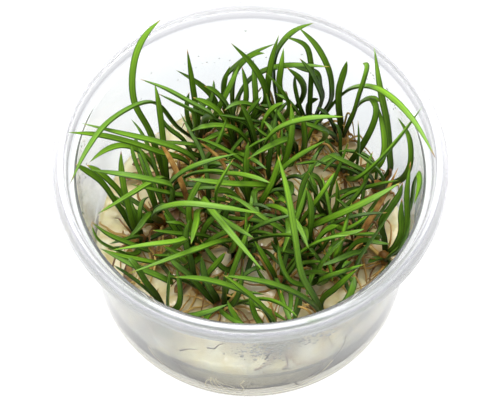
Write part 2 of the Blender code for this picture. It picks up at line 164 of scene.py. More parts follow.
# How bright the leaves are, with painted light that makes their higher parts brighter and painted shade that
# makes their low parts darker, and how brown their tips and bases
LEAF_TONES = (0.25, 1.0)
INNER_TONES = (0.0, 0.85)
OWN_TONE = 0.65
# Painted light: how much brighter a leaf is painted for each share of the height from the gel to the rim
HEIGHT_PAINTED_LIGHT = 0.4
LEAST_TONE = 0.03
TIP_AGES = (0.2, 0.9)
TIP_AGE_FROM = 0.93
TIP_AGE_OVER = 0.06
BASE_AGE = 0.45
BASE_AGE_TO = 0.16

# Seeds of the random draws. The number of the plantlet or leaf is added to the first four
LEAF_SEED = 100
DEAD_LEAF_SEED = 300
CROWN_SEED = 500
ROOT_SEED = 700
DROP_SEED = 11

# Gel folds
GEL_FOLD_SIZE = 6.5
GEL_FOLD_SLICE = 2.7
GEL_FOLD_POWER = 0.7
GEL_FOLD_MIDDLE = 0.35
GEL_FOLD = 1.5
GEL_FINE_SIZE = 1.7
GEL_FINE_SLICE = 5.1
GEL_FINE = 0.12
STAIN_MOST = 0.5
STAIN_REACH = 6.0
GEL_SIDE_RINGS = 26
GEL_SIDE_FOLD = 1.6
GEL_SIDE_FOLD_SIZE = 7.0
GEL_SIDE_FOLD_HEIGHT = 5.0
GEL_SEAM_Z = 7.6
GEL_SEAM = 0.5
GEL_SEAM_WIDTH = 0.35
GEL_SEAM_REACH = 4.0
# Painted shade on the side of the gel: how far it spreads from the seam, and how strong it is above the seam
SEAM_SHADE_WIDTH = 0.8
SHADE_ABOVE_SEAM = 0.5
STEEP = 0.7

# Marks on the inside of the wall, each a line of places: the turn round the axis in degrees, and the height.
# The first six cracks and the first two roots start from another script's output too.
CRACKS_AND_SEAM_SHADE = (
    ((-56, 26), (-56, 20), (-59, 14.5), (-64, 11), (-69, 8.5), (-71, 7.6), (-76, 7.4)),
    ((-74, 7), (-73, 5), (-71, 3.4)),
    ((-118, 17.5), (-117, 14.8), (-114.5, 11), (-112, 8), (-108, 6.9), (-105, 6.6)),
    ((-114, 25), (-110.5, 28.7), (-107.6, 30)),
    ((-104, 33), (-101.6, 33.4), (-100, 36.6), (-98, 38.5)),
    ((-85, 28), (-83, 33)),
    ((-79, 19.5), (-76, 18.5)),
    # The last four lines run round the seam of the gel: dark threads of painted shade in the seam.
    ((-76, 7.4), (-84, 7.3), (-92, 6.9), (-105, 7.1), (-120, 7.4), (-135, 8.0), (-150, 8.8)),
    ((-69, 8.5), (-55, 8.1), (-40, 8.8), (-28, 9.4)),
    ((35, 8.2), (60, 7.5), (90, 7.8), (120, 7.2)),
    ((150, 7.4), (172, 8.2), (198, 7.6)),
)
WALL_ROOTS = (
    ((-103.5, 12), (-104, 9), (-103, 6), (-101, 3)),
    ((-103, 12), (-102.5, 9), (-101, 6), (-98, 3)),
    ((-102, 12), (-101.5, 9), (-99, 6.5), (-95, 3.2)),
    ((-104, 11), (-105.5, 8.5), (-106, 6), (-105, 3.5)),
    ((-102.5, 11), (-100, 9.2), (-97, 8.5), (-94, 6)),
    ((-92, 13), (-93.5, 10), (-92, 7), (-93, 4)),
    ((-60, 13), (-63, 9), (-67, 6), (-72, 4.5), (-78, 4)),
    ((-128, 14), (-126, 10), (-121, 7), (-115, 5)),
    ((12, 12), (8, 9), (6, 6), (0, 4)),
    ((95, 13), (99, 9), (97, 6), (103, 4)),
    ((172, 13), (168, 9), (170, 6), (163, 4)),
    ((40, 12), (44, 8), (50, 6), (53, 4)),
)
# Patches of condensation: turn, height, spread of each, how many drops and how large. The places of the
# first three start from another script's output too.
DROP_PATCHES = (
    (-86, 34, 9.0, 9.0, 150, 0.30),
    (-68, 37, 9.0, 5.0, 90, 0.30),
    (-49, 33, 6.0, 6.0, 40, 0.25),
    (176, 44, 10.0, 7.0, 32, 0.26),
    (-163, 40, 9.0, 7.0, 24, 0.26),
    (32, 46, 14.0, 4.0, 45, 0.22),
    (100, 38, 40.0, 9.0, 26, 0.22),
)

# Small things
ROOTS_EACH = 14
ROOT_LIFT = 11.0
ROOT_LIFT_POWER = 3
ROOT_LENGTHS = (6.0, 16.0)
ROOT_START = 1.6
ROOT_BEND = (-0.12, 0.12)
ROOT_WANDER = (-0.15, 0.15)
ROOT_TONES = (0.12, 0.8)
ROOT_RADII = (0.25, 0.6)
ROOT_WALL_GAP = 0.9
ROOT_RISE = 0.1
ROOT_WAVE = 0.12
ROOT_WAVE_STEP = 1.3
ROOT_TIP = 0.35
CRACK_RADIUS = 0.28
WALL_ROOT_RADIUS = 0.26
ROOT_STEPS = 14
ROOT_SIDES = 6
DROP_SIDES = 8
DROP_LEVELS = 3
DROP_SINK = 0.02
DROP_SHOULDER = 0.55
DROP_TOP = 0.56
DROP_SIZES = (0.5, 1.6)
DROPS_ABOVE_GEL = 4.0
DROPS_BELOW_TOP = 1.0

# Colours, as linear red, green and blue along each material's pattern
BLACK = (0.0, 0.0, 0.0)
WHITE = (1.0, 1.0, 1.0)
# Greens from dark to bright along the tone, which carries painted light and painted shade: brighter high up,
# darker low down
LEAF_GREENS_WITH_PAINTED_LIGHT = ((0.0, (0.030, 0.062, 0.008)), (0.3, (0.065, 0.14, 0.010)), (0.6, (0.125, 0.26, 0.013)),
               (1.0, (0.185, 0.365, 0.017)))
# Painted light and shade across a leaf: a painted highlight along one half, painted shade on the other half,
# at both edges and along the midrib
LEAF_PAINTED_SIDE_LIGHT = ((0.0, (0.25, 0.3, 0.25)), (0.13, (0.6, 0.65, 0.55)), (0.24, WHITE),
               (0.42, (0.97, 0.97, 0.9)), (0.5, (0.6, 0.65, 0.6)), (0.6, (0.84, 0.86, 0.8)),
               (0.86, (0.55, 0.6, 0.52)), (1.0, (0.22, 0.27, 0.22)))
# How finely the grain runs across and along a leaf, and how far it shifts from leaf to leaf
GRAIN_SCALES = (("X", "across", 2.2), ("Y", "along", 3.0), ("Z", "seed", 40.0))
LEAF_STREAKS = ((0.35, (0.72, 0.76, 0.7)), (0.6, WHITE))
LEAF_BASE = ((0.0, (0.35, 0.25, 0.12)), (0.12, (0.55, 0.55, 0.4)), (0.4, (0.9, 0.9, 0.9)),
             (1.0, WHITE))
LEAF_BROWNS = ((0.3, (0.06, 0.025, 0.006)), (0.5, (0.24, 0.115, 0.022)), (0.7, (0.46, 0.29, 0.075)))
DEAD_BROWNS = ((0.3, (0.08, 0.035, 0.010)), (0.5, (0.30, 0.15, 0.03)), (0.7, (0.50, 0.33, 0.10)))
LEAF_AGED = ((0.35, BLACK), (0.6, WHITE))
DEAD_EDGE = ((0.0, WHITE), (1.0, (0.6, 0.55, 0.5)))
# The darkest colour, at 0, is for the cracks on the wall; along the seam of the gel it is painted shade
ROOT_COLORS = ((0.0, (0.05, 0.03, 0.012)), (0.12, (0.16, 0.07, 0.015)), (0.5, (0.45, 0.25, 0.05)),
               (0.8, (0.66, 0.46, 0.13)), (1.0, (0.74, 0.66, 0.44)))
GEL_STAIN = (0.30, 0.17, 0.05)
GEL_STAINED = ((0.1, BLACK), (0.8, WHITE))
# The side of the gel: its cream below the seam, painted shade above the seam, and near black painted shade
# in the seam itself
GEL_SIDE_COLORS_AND_SHADE = ((0.0, (0.58, 0.53, 0.36)), (0.5, (0.52, 0.46, 0.28)), (1.0, (0.03, 0.025, 0.012)))
# Painted light: the side of the gel glows, standing in for the light that reaches it through the wall
GEL_SIDE_PAINTED_GLOW = 0.28
GEL_SIDE_LUMPS = ((0.35, (0.82, 0.82, 0.78)), (0.6, WHITE))
GEL_CREAMS = ((0.3, (0.92, 0.85, 0.56)), (0.5, (0.80, 0.68, 0.34)), (0.68, (0.95, 0.92, 0.70)))

PLASTIC_TINTS = ((0.0, (0.72, 0.70, 0.60)), (0.08, (0.83, 0.82, 0.76)), (0.3, (0.84, 0.87, 0.89)),
                 (0.62, (0.87, 0.90, 0.92)), (0.8, (0.93, 0.95, 0.95)))
PLASTIC_IOR = 1.40
# Painted shade low on the rim, under the flange, and painted highlights and painted shade in fine rings
# where the rim's steps catch and lose the light
RIM_PAINTED_LOW_SHADE = ((0.922, (0.75, 0.75, 0.78)), (0.932, (0.96, 0.96, 0.97)), (0.965, WHITE))
RIM_PAINTED_STEP_RINGS = ((0.9, (0.96, 0.96, 0.97)), (0.932, (0.88, 0.88, 0.89)), (0.938, (0.70, 0.70, 0.75)),
             (0.946, (0.76, 0.76, 0.80)), (0.95, (0.95, 0.95, 0.95)), (0.956, (0.90, 0.90, 0.91)),
             (0.961, (0.68, 0.68, 0.74)), (0.968, (0.76, 0.76, 0.81)), (0.974, (0.94, 0.94, 0.94)),
             (0.982, (0.80, 0.80, 0.85)), (0.992, (0.86, 0.86, 0.89)), (0.998, (0.98, 0.98, 0.99)))

WATER_COLOR = (0.93, 0.95, 0.96)
WATER_IOR = 1.33

# How clouded the plastic is along the cup's height, and how rough its clouded patches are
CLOUDED = ((0.27, BLACK), (0.31, WHITE), (0.83, WHITE),
           (0.88, BLACK))
CLEAR_ROUGHNESS = (0.06, 0.06, 0.06)
CLOUD_ROUGHNESS = ((0.42, (0.05, 0.05, 0.05)), (0.62, (0.26, 0.26, 0.26)))

# Light
FLOOR_DROP = -0.0005
FLOOR_HALF = 1.5
FLOOR_SHADES = ((0.0, (0.1, 0.1, 0.1)), (1.0, (0.12, 0.12, 0.12)))
FLOOR_GLOW = 1.0
WORLD_LIGHT = 0.9
KEY_PLACE = (-0.12, 0.16, 0.5)
KEY_SIZE = 0.35
KEY_POWER = 4.5
FILL_PLACE = (0.3, -0.25, 0.35)
FILL_SIZE = 0.4
FILL_POWER = 0.5
LIGHT_AIM = (0.0, 0.0, 0.03)

# Camera, fitted to the ellipses of the rim, ledge and foot in the photograph
AIM_Z = 32.24
CAMERA_DISTANCE = 323.9
CAMERA_ELEVATION = 60.13
LENS = 87.17
SENSOR = 36.0
CLIP_START = 0.01

# One entry for each plantlet: where its crown stands, then its leaves. A leaf is the heading of its tip in
# degrees, how far out the tip is, its height above the table, how much the middle of the leaf rises, how
# much it swings to the left, and how long it climbs before it leans over (1 is at once, 2 is late).
# Most rows were not chosen by hand: another script fitted them to points picked in the photograph. The
# rules for these scripts don't allow such a table.
PLANTLETS = (
    ((37, -9), ((72, 8, 44, 1, 0, 1.4), (66, 11, 51, -6, -3, 2.2), (63, 8, 36, -1, -2, 2.2),
                (-28, 6, 50, 14, 9, 1.0), (-23, 7, 43, 1, -5, 1.4), (-139, 7, 22, 1, 0, 1.4),
                (-108, 13, 26, 3, 2, 1.4))),
    ((36, 13), ((107, 18, 58, -6, -6, 2.2), (-159, 9, 41, 6, 8, 2.2), (145, 14, 23, 2, -4, 1.6),
                (36, 3, 50, 7, -10, 1.4))),
    ((26, 29), ((26, 5, 52, 14, -5, 1.2), (85, 5, 49, 1, 0, 1.4), (-27, 11, 44, 5, 2, 1.8),
                (-150, 14, 36, 2, 2, 1.4))),
    ((18, 33), ((-52, 46, 58, 12, 8, 1.8), (114, 11, 55, 1, -9, 2.2), (142, 12, 52, 0, -4, 2.2),
                (130, 6, 49, 0, -4, 1.6), (126, 12, 38, 8, -7, 2.2))),
    ((8, 36), ((28, 11, 57, 4, 7, 2.2), (78, 5, 46, 0, 1, 1.6), (86, 6, 50, -4, 2, 2.0),
               (-62, 4, 48, -3, 8, 1.0), (-142, 5, 45, 4, 7, 2.0))),
    ((-5, 33), ((38, 16, 46, -1, 9, 2.2), (93, 6, 50, -2, -10, 2.0), (34, 11, 45, 5, 5, 1.0),
                (63, 6, 40, 0, -3, 1.6), (57, 11, 38, 1, -4, 1.8))),
    ((-14, 28), ((111, 8, 52, -5, 0, 1.6), (-128, 49, 58, 12, -6, 1.4), (-155, 16, 58, 13, 11, 2.2),
                 (130, 10, 42, -4, -8, 2.2), (-152, 12, 50, 8, 8, 2.2))),
    ((-23, 11), ((91, 28, 60, 10, 8, 1.0), (100, 12, 54, 3, 0, 1.4), (-129, 26, 41, 7, 4, 2.2),
                 (-163, 20, 43, 7, -5, 1.6), (-149, 22, 48, 12, 12, 2.2), (-15, 21, 47, 9, -7, 2.2))),
    ((-15, 19), ((-159, 30, 58, 5, 7, 2.2), (-154, 34, 59, 2, 0, 1.4), (138, 14, 35, -2, -4, 2.2),
                 (20, 9, 38, 2, -2, 1.4))),
    ((-30, -4), ((177, 14, 56, 2, -3, 1.2), (110, 9, 50, 1, 2, 1.6), (152, 14, 46, 4, -2, 1.0),
                 (-144, 15, 43, 1, 9, 2.0), (-143, 16, 43, 0, 7, 1.0))),
    ((-25, 2), ((-26, 32, 46, 12, -7, 2.2), (-52, 5, 34, 1, -3, 1.4), (-133, 13, 24, 4, -1, 2.2))),
    ((-25, -9), ((-150, 17, 37, 3, 7, 2.2), (-148, 17, 38, 3, 14, 2.2), (-121, 18, 50, 12, 13, 2.2),
                 (-78, 11, 44, -4, 6, 1.0))),
    ((-22, -26), ((153, 10, 40, 6, 0, 1.0), (-11, 2, 43, 1, -3, 1.4), (51, 5, 35, -1, -3, 1.8),
                  (-12, 17, 30, 3, -4, 1.4))),
    ((-4, -6), ((-142, 34, 42, 8, 5, 2.0), (-98, 9, 41, -4, -1, 1.0), (6, 3, 38, -1, -7, 1.4),
                (-161, 10, 28, 1, 9, 1.0))),
    ((-11, 5), ((-65, 35, 42, 9, -5, 2.2), (-62, 26, 44, 5, -4, 1.4), (-14, 7, 48, 3, -6, 2.0),
                (-102, 21, 36, 4, -1, 1.4))),
    ((6, 13), ((-157, 25, 38, 5, 5, 1.4), (-7, 14, 44, 3, -3, 2.2), (61, 10, 46, 3, -3, 1.4),
               (-101, 15, 26, 3, -1, 1.4))),
    ((14, 24), ((-86, 3, 42, -4, 1, 1.0), (-67, 10, 44, 0, 5, 1.0), (-135, 21, 38, 5, 1, 2.0),
                (174, 5, 34, 0, 8, 1.0))),
    ((-4, 25), ((19, 29, 42, 2, 10, 2.2), (-145, 12, 34, 4, 0, 2.0), (166, 12, 40, 2, -2, 2.0),
                (148, 10, 42, 3, -3, 1.2))),
    ((3, 21), ((161, 6, 44, 1, -1, 1.4), (27, 7, 43, 1, 4, 1.6), (-19, 23, 52, 10, -4, 2.0))),
    ((27, 19), ((54, 9, 42, 12, -5, 1.0), (32, 10, 44, 1, -10, 1.4), (-20, 18, 58, 2, -12, 1.2),
                (9, 2, 42, -1, -6, 1.4), (-144, 12, 29, 5, 0, 2.2))),
    ((12, -1), ((-2, 27, 45, 5, -5, 1.2), (-106, 16, 31, 7, -1, 2.2), (167, 5, 28, 1, 8, 1.0),
                (63, 14, 34, 3, 0, 1.4))),
    ((20, -28), ((116, 30, 57, 5, 3, 2.2), (-173, 27, 50, 6, 1, 1.6), (36, 9, 37, -4, 5, 2.2),
                 (40, 9, 32, 5, -3, 1.2))),
    ((8, -34), ((173, 27, 48, 5, -3, 1.4), (165, 15, 48, -2, -1, 2.2), (158, 15, 30, 3, 4, 1.0),
                (138, 11, 32, 2, 2, 1.8))),
    ((30, -5), ((-28, 8, 44, -1, -12, 1.8), (158, 4, 38, -1, 11, 1.4), (-125, 6, 31, 7, 6, 2.2),
                (-134, 18, 28, 3, 5, 1.6))),
    ((22, -14), ((-46, 3, 41, 3, -7, 1.8), (-105, 14, 44, -3, -7, 1.0), (-38, 10, 34, 1, -8, 2.2),
                 (170, 15, 30, 4, 9, 1.0), (53, 29, 35, -4, -2, 1.8))),
    ((-8, -24), ((-27, 2, 40, 0, 0, 1.4), (130, 7, 36, 1, 1, 1.4), (149, 15, 34, 3, 1, 1.4),
                 (29, 7, 34, 1, -4, 1.6))),
    ((8, -17), ((167, 7, 38, 1, 1, 1.4), (7, 5, 34, 1, -2, 2.2), (-170, 7, 31, 1, 4, 1.0))),
    ((22, 4), ((13, 1, 36, 1, -3, 1.4), (7, 10, 38, 2, -3, 1.0), (148, 8, 33, 0, 3, 2.2),
               (-20, 13, 30, 2, -7, 1.0))),
    ((0.5, 4.5), ((96, 9, 40, 1, 1, 1.4), (-155, 11, 36, 2, -2, 1.4), (-42, 12, 37, 1, 2, 1.6),
                  (30, 9, 41, 1, -2, 1.4))),
    ((-15, -7), ((75, 12, 38, 2, 1, 1.6), (-15, 13, 36, 2, -2, 1.4), (-98, 9, 34, 1, 1, 1.4),
                 (168, 8, 36, 1, 2, 1.4))),
    ((15, -9), ((92, 9, 39, 1, -2, 1.4), (-160, 9, 34, 1, 2, 1.4), (-10, 8, 37, 2, 1, 1.4),
                (-75, 8, 33, 1, -1, 1.4))),
    ((-14, -18), ((100, 10, 36, 1, 2, 1.6), (15, 8, 33, 1, -1, 1.4), (-150, 9, 32, 1, 1, 1.4),
                  (-60, 8, 31, 1, 2, 1.4))),
)

# Dead leaves that lie loose on the gel: where the broad end is, then heading, length and sideways bow.
DEAD_LEAVES = (
    (-36, 16, -2, 13, 1),
    (-28, -3, 49, 12, -1),
    (-17, -11, 250, 10, 1),
    (16, 9, 200, 12, 1),
    (29, 5, 255, 15, -1),
    (-7, -33, 20, 11, 1),
    (-33, -11, 278, 12, -1),
    (-24, 27, 215, 12, 1),
)
DEAD_LEAF_LIFT = 1.6


def wall_radius(z):
    """The outer radius of the cup's tapered wall."""
    share = min(max(z / WALL_TOP_Z, 0.0), 1.0)
    return WALL_FOOT_RADIUS + share * (WALL_TOP_RADIUS - WALL_FOOT_RADIUS)


def room_radius(z):
    """How far from the axis the middle of a leaf may be: inside the wall, or over the rim."""
    if z > OVER_RIM_Z:
        return OVER_RIM_RADIUS
    return wall_radius(z) - WALL - WALL_CLEARANCE + max(0.0, z - LEDGE_Z) * RIM_LEAN


def gel_height(x, y):
    """The lumpy top of the gel."""
    lump = noise.noise(Vector((x / GEL_LUMP_SIZE, y / GEL_LUMP_SIZE, GEL_LUMP_SLICE)))
    return GEL_Z + GEL_LUMP * lump


def out_and_left(heading):
    """The level directions towards a heading in degrees and to the left of it."""
    turn = radians(heading)
    return np.array((cos(turn), sin(turn), 0.0)), np.array((-sin(turn), cos(turn), 0.0))


def leaf_path(crown, number, heading, reach, tip_z, lift, sweep, lean):
    """The stations along the middle of a leaf, from inside its crown to its tip."""
    out, left = out_and_left(heading)
    ground = np.array((*crown, gel_height(*crown)))
    start = ground + out * LEAF_START + UP * (LEAF_START_RISE - LEAF_START_STEP * number)
    stations = []
    for share in LEAF_STATIONS:
        hump = 4.0 * share * (1.0 - share)
        climb = (tip_z - start[2]) * share + lift * hump
        away = (reach - LEAF_START) * share ** lean
        stations.append(start + out * away + left * sweep * hump + UP * climb)
    return np.array(stations)


def dead_leaf_path(x, y, heading, length, bow):
    turn = radians(heading)
    stations = []
    for share in LEAF_STATIONS:
        side = 4.0 * share * (1.0 - share) * bow
        px = x + cos(turn) * length * share - sin(turn) * side
        py = y + sin(turn) * length * share + cos(turn) * side
        stations.append((px, py, gel_height(px, py) + DEAD_LEAF_LIFT))
    return np.array(stations)


def nearest_between(a0, a1, b0, b1):
    """For pairs of segments, how far along each the two come closest."""
    along_a, along_b, apart = a1 - a0, b1 - b0, a0 - b0
    aa, bb = (along_a ** 2).sum(1), (along_b ** 2).sum(1)
    ab, ad, bd = (along_a * along_b).sum(1), (along_a * apart).sum(1), (along_b * apart).sum(1)
    square = aa * bb - ab ** 2
    s = np.clip((ab * bd - bb * ad) / np.maximum(square, TINY_SQUARE), 0.0, 1.0)
    t = np.clip((ab * s + bd) / bb, 0.0, 1.0)
    s = np.clip((ab * t - ad) / aa, 0.0, 1.0)
    return s, t


def settle(paths, owners, widths, held, rounds):
    """Moves leaves aside where they pass through each other, the wall or the gel. The first are held."""
    count = len(LEAF_STATIONS)
    points = np.array(paths)
    home = points.copy()
    roots = home[:, 0]
    radii = np.array(widths)[:, None] / 2.0 * np.array(LEAF_TAPER)
    loose = np.array([owner >= len(PLANTLETS) for owner in owners])
    freedom = np.minimum(1.0, np.array(LEAF_STATIONS) / FREE_FROM)[None, :] * np.ones((len(paths), 1))
    freedom[loose] = 1.0
    freedom[:held] = 0.0
    leaf_of = np.repeat(np.arange(len(paths)), count - 1)
    owner_of = np.array(owners)[leaf_of]
    first, second = np.triu_indices(len(leaf_of), 1)
    other = (leaf_of[first] != leaf_of[second]) & (leaf_of[second] >= held)
    first, second = first[other], second[other]
    crowns = np.array([(x, y, gel_height(x, y) + CROWN_MIDDLE) for (x, y), _ in PLANTLETS])
    foreign = np.array(owners)[:, None] != np.arange(len(PLANTLETS))[None, :]
    for _ in range(rounds):
        starts, ends = points[:, :-1].reshape(-1, 3), points[:, 1:].reshape(-1, 3)
        middles = (starts + ends) / 2.0
        painted_side_light = np.linalg.norm(ends - starts, axis=1) / 2.0
        close = (np.abs(middles[first] - middles[second]).max(axis=1)
                 < painted_side_light[first] + painted_side_light[second] + LEAF_WIDTH + LEAF_GAP)
        own = owner_of[first] == owner_of[second]
        reach = np.linalg.norm(middles - roots[leaf_of], axis=1)
        close &= ~(own & (np.minimum(reach[first], reach[second]) < OWN_CROWN_REACH))
        a, b = first[close], second[close]
        s, t = nearest_between(starts[a], ends[a], starts[b], ends[b])
        on_a = starts[a] + (ends[a] - starts[a]) * s[:, None]
        on_b = starts[b] + (ends[b] - starts[b]) * t[:, None]
        apart = on_a - on_b
        distance = np.maximum(np.linalg.norm(apart, axis=1), TINY)
        segment_a, segment_b = a % (count - 1), b % (count - 1)
        leaf_a, leaf_b = leaf_of[a], leaf_of[b]
        radius_a = radii[leaf_a, segment_a] * (1.0 - s) + radii[leaf_a, segment_a + 1] * s
        radius_b = radii[leaf_b, segment_b] * (1.0 - t) + radii[leaf_b, segment_b + 1] * t
        lack = np.maximum(0.0, radius_a + radius_b + LEAF_GAP - distance)
        push = apart / distance[:, None] * (0.5 * lack)[:, None]
        moves = np.zeros_like(points)
        np.add.at(moves, (leaf_a, segment_a), push * (1.0 - s)[:, None])
        np.add.at(moves, (leaf_a, segment_a + 1), push * s[:, None])
        np.add.at(moves, (leaf_b, segment_b), -push * (1.0 - t)[:, None])
        np.add.at(moves, (leaf_b, segment_b + 1), -push * t[:, None])
        spread = moves.copy()
        spread[:, 1:] += 0.5 * moves[:, :-1]
        spread[:, :-1] += 0.5 * moves[:, 1:]
        moved = points + spread * freedom[:, :, None] - home
        far = np.maximum(np.linalg.norm(moved, axis=2, keepdims=True), TINY)
        points = home + moved * np.minimum(1.0, MOST_MOVED / far)
        keep_off_crowns(points, foreign, crowns, radii, freedom)
        keep_inside(points, radii, freedom, held)
    return points


def keep_off_crowns(points, foreign, crowns, radii, freedom):
    """Moves the low part of each leaf off the crowns of the other plantlets."""
    away = points[:, :, None, :2] - crowns[None, None, :, :2]
    distance = np.maximum(np.linalg.norm(away, axis=3), TINY)
    low = points[:, :, None, 2] < crowns[None, None, :, 2] + CROWN_TOP
    lack = np.maximum(0.0, radii[:, :, None] + CROWN_KEEP_OUT - distance) * low * foreign[:, None, :]
    step = away / distance[..., None] * lack[..., None]
    points[:, :, :2] += step.sum(axis=2) * freedom[:, :, None]


def keep_inside(points, radii, freedom, held):
    """Brings each station back inside the wall and above the gel."""
    moving = points[held:]
    rooms = np.array([[room_radius(z) for z in leaf[:, 2]] for leaf in moving])
    reach = np.maximum(np.linalg.norm(moving[:, :, :2], axis=2), TINY)
    moving[:, :, :2] *= np.minimum(1.0, rooms / reach)[:, :, None]
    ground = np.array([[gel_height(x, y) for x, y in leaf[:, :2]] for leaf in moving])
    floor = ground + radii[held:] + GEL_CLEARANCE
    moving[:, :, 2] = np.where(freedom[held:] >= 1.0, np.maximum(moving[:, :, 2], floor), moving[:, :, 2])


def least_gap(path, owner, starts, ends, owners, crown):
    """How clear a leaf stays of the segments of the others: below zero they pass through each other."""
    count = len(path) - 1
    first = np.repeat(np.arange(count), len(starts))
    second = np.tile(np.arange(len(starts)), count)
    middles = (starts + ends) / 2.0
    near_crown = np.linalg.norm(middles - crown, axis=1) < OWN_CROWN_REACH
    counts = ~(near_crown & (owners == owner))[second]
    first, second = first[counts], second[counts]
    s, t = nearest_between(path[first], path[first + 1], starts[second], ends[second])
    on_leaf = path[first] + (path[first + 1] - path[first]) * s[:, None]
    on_other = starts[second] + (ends[second] - starts[second]) * t[:, None]
    return np.linalg.norm(on_leaf - on_other, axis=1).min() - LEAF_WIDTH


def inner_rows(chance, crown):
    """Rows like those of the table, for young and hidden leaves that reach out low from a crown."""
    heading = chance.uniform(0.0, 360.0)
    while True:
        heading += GOLDEN_TURN
        out = out_and_left(heading)[0][:2]
        reach = chance.uniform(*INNER_REACH)
        while np.linalg.norm(np.array(crown) + out * reach) > INNER_RADIUS and reach > INNER_LEAST_REACH:
            reach -= 1.0
        yield (heading, reach, chance.uniform(*INNER_TIP_Z), chance.uniform(*INNER_LIFT),
               chance.uniform(*INNER_SWEEP), chance.uniform(*INNER_LEAN))


def covers_open_gel(path):
    """Whether a leaf hides a patch of open gel from someone who looks in from the front."""
    behind = path[:, 1] + (path[:, 2] - GEL_Z) * OPEN_VIEW
    return any((np.hypot(path[:, 0] - x, behind - y) < radius).any() for x, y, radius in OPEN_GEL)


def add_inner_leaves(paths, owners):
    """Adds the inner leaves where they have the most room among those that are there."""
    starts = np.concatenate([path[:-1] for path in paths])
    ends = np.concatenate([path[1:] for path in paths])
    segment_owners = np.repeat(owners, len(LEAF_STATIONS) - 1)
    for owner, (crown, _) in enumerate(PLANTLETS):
        chance = np.random.default_rng(owner)
        rows = inner_rows(chance, crown)
        base = np.array((*crown, gel_height(*crown)))
        for number in range(round(INNER_LEAVES_MOST - np.hypot(*crown) / INNER_LEAVES_FALL)):
            tries = [leaf_path(crown, number, *next(rows)) for _ in range(INNER_TRIES)]
            tries = [path for path in tries if not covers_open_gel(path)]
            if not tries:
                continue
            gaps = [least_gap(path, owner, starts, ends, segment_owners, base) for path in tries]
            best = int(np.argmax(gaps))
            if gaps[best] < LEAST_GAP:
                continue
            paths.append(tries[best])
            owners.append(owner)
            starts = np.concatenate([starts, tries[best][:-1]])
            ends = np.concatenate([ends, tries[best][1:]])
            segment_owners = np.append(segment_owners, np.full(len(LEAF_STATIONS) - 1, owner))


def settled_leaves():
    """The stations of every leaf: those of the table, then the dead leaves, then the inner leaves."""
    paths, owners, widths = [], [], []
    for owner, (crown, leaves) in enumerate(PLANTLETS):
        for number, leaf in enumerate(leaves):
            paths.append(leaf_path(crown, number, *leaf))
            owners.append(owner)
            widths.append(LEAF_WIDTH)
    for number, row in enumerate(DEAD_LEAVES):
        paths.append(dead_leaf_path(*row))
        owners.append(len(PLANTLETS) + number)
        widths.append(DEAD_LEAF_WIDTH)
    held = len(paths)
    paths = list(settle(paths, owners, widths, 0, SETTLE_ROUNDS))
    add_inner_leaves(paths, owners)
    widths += [LEAF_WIDTH] * (len(paths) - held)
    paths = settle(paths, owners, widths, held, INNER_SETTLE_ROUNDS)
    return paths, np.array(owners), held


def smooth_curve(stations, count):
    """Points on a smooth curve through the stations, with the share of the leaf's length at each."""
    knots = np.array(LEAF_STATIONS)
    slopes = np.gradient(stations, knots, axis=0)
    shares = np.linspace(0.0, 1.0, count)
    index = np.clip(np.searchsorted(knots, shares, side="right") - 1, 0, len(knots) - 2)
    span = (knots[index + 1] - knots[index])[:, None]
    u = (shares - knots[index])[:, None] / span
    before, after = index, index + 1
    ease = 3 * u ** 2 - 2 * u ** 3
    points = (1 - ease) * stations[before] + ease * stations[after]
    points += span * ((u ** 3 - 2 * u ** 2 + u) * slopes[before] + (u ** 3 - u ** 2) * slopes[after])
    return points, shares


def frames_along(path, roll):
    """The sideways direction and the way the face looks at each point, turned as little as possible."""
    tangents = np.gradient(path, axis=0)
    tangents /= np.linalg.norm(tangents, axis=1)[:, None]
    side = np.cross(path[-1] - path[0], (0.0, 0.0, 1.0))
    sides = []
    for tangent in tangents:
        side = side - tangent * (side @ tangent)
        side = side / np.linalg.norm(side)
        sides.append(side)
    sides = np.array(sides)
    faces = np.cross(sides, tangents)
    turned = sides * cos(roll) + faces * sin(roll)
    return turned, np.cross(turned, tangents)


def round_turns(count):
    """Angles spaced evenly round a circle."""
    return 2.0 * pi * np.arange(count) / count


def blade_section(face_rise, groove, keel_depth):
    """The outline of a blade across its length: a face with a shallow groove, and a rounded back."""
    turns = round_turns(LEAF_SIDES)
    across, rise = np.cos(turns), np.sin(turns)
    face = face_rise * rise - groove * (1.0 - np.abs(across)) ** GROOVE_POWER
    return across, np.where(rise > 0.0, face, keel_depth * rise)


def blade(stations, width, section, roll, tip_from):
    """Points of one leaf, with how far along it each lies."""
    path, shares = smooth_curve(stations, LEAF_RINGS)
    sides, faces_dir = frames_along(path, roll)
    narrowing = np.maximum(0.0, (shares - tip_from) / (1.0 - tip_from)) ** TIP_CURVE
    taper = (np.minimum(1.0, LEAF_TAPER[0] + shares) - narrowing)[:-1]
    across, rise = section
    ring = (path[:-1, None, :]
            + sides[:-1, None, :] * (across[None, :] * width / 2.0 * taper[:, None])[..., None]
            + faces_dir[:-1, None, :] * (rise[None, :] * taper[:, None])[..., None])
    points = np.concatenate([ring.reshape(-1, 3), path[-1:]])
    along = np.append(np.repeat(shares[:-1], LEAF_SIDES), 1.0)
    return points, along


def ring_faces(ring_count, sides):
    """Four-sided faces between each ring of points and the next."""
    faces = []
    for low in range(0, (ring_count - 1) * sides, sides):
        for side in range(sides):
            after = (side + 1) % sides
            faces.append((low + side, low + after, low + sides + after, low + sides + side))
    return faces


def tube_faces(ring_count, sides, end_point):
    """Faces over rings of points, closed by a cap at the start and by a cap or one last point at the end."""
    faces = ring_faces(ring_count, sides)
    faces.append(tuple(reversed(range(sides))))
    last = (ring_count - 1) * sides
    if end_point:
        faces.extend((last + side, last + (side + 1) % sides, last + sides) for side in range(sides))
    else:
        faces.append(tuple(last + side for side in range(sides)))
    return faces


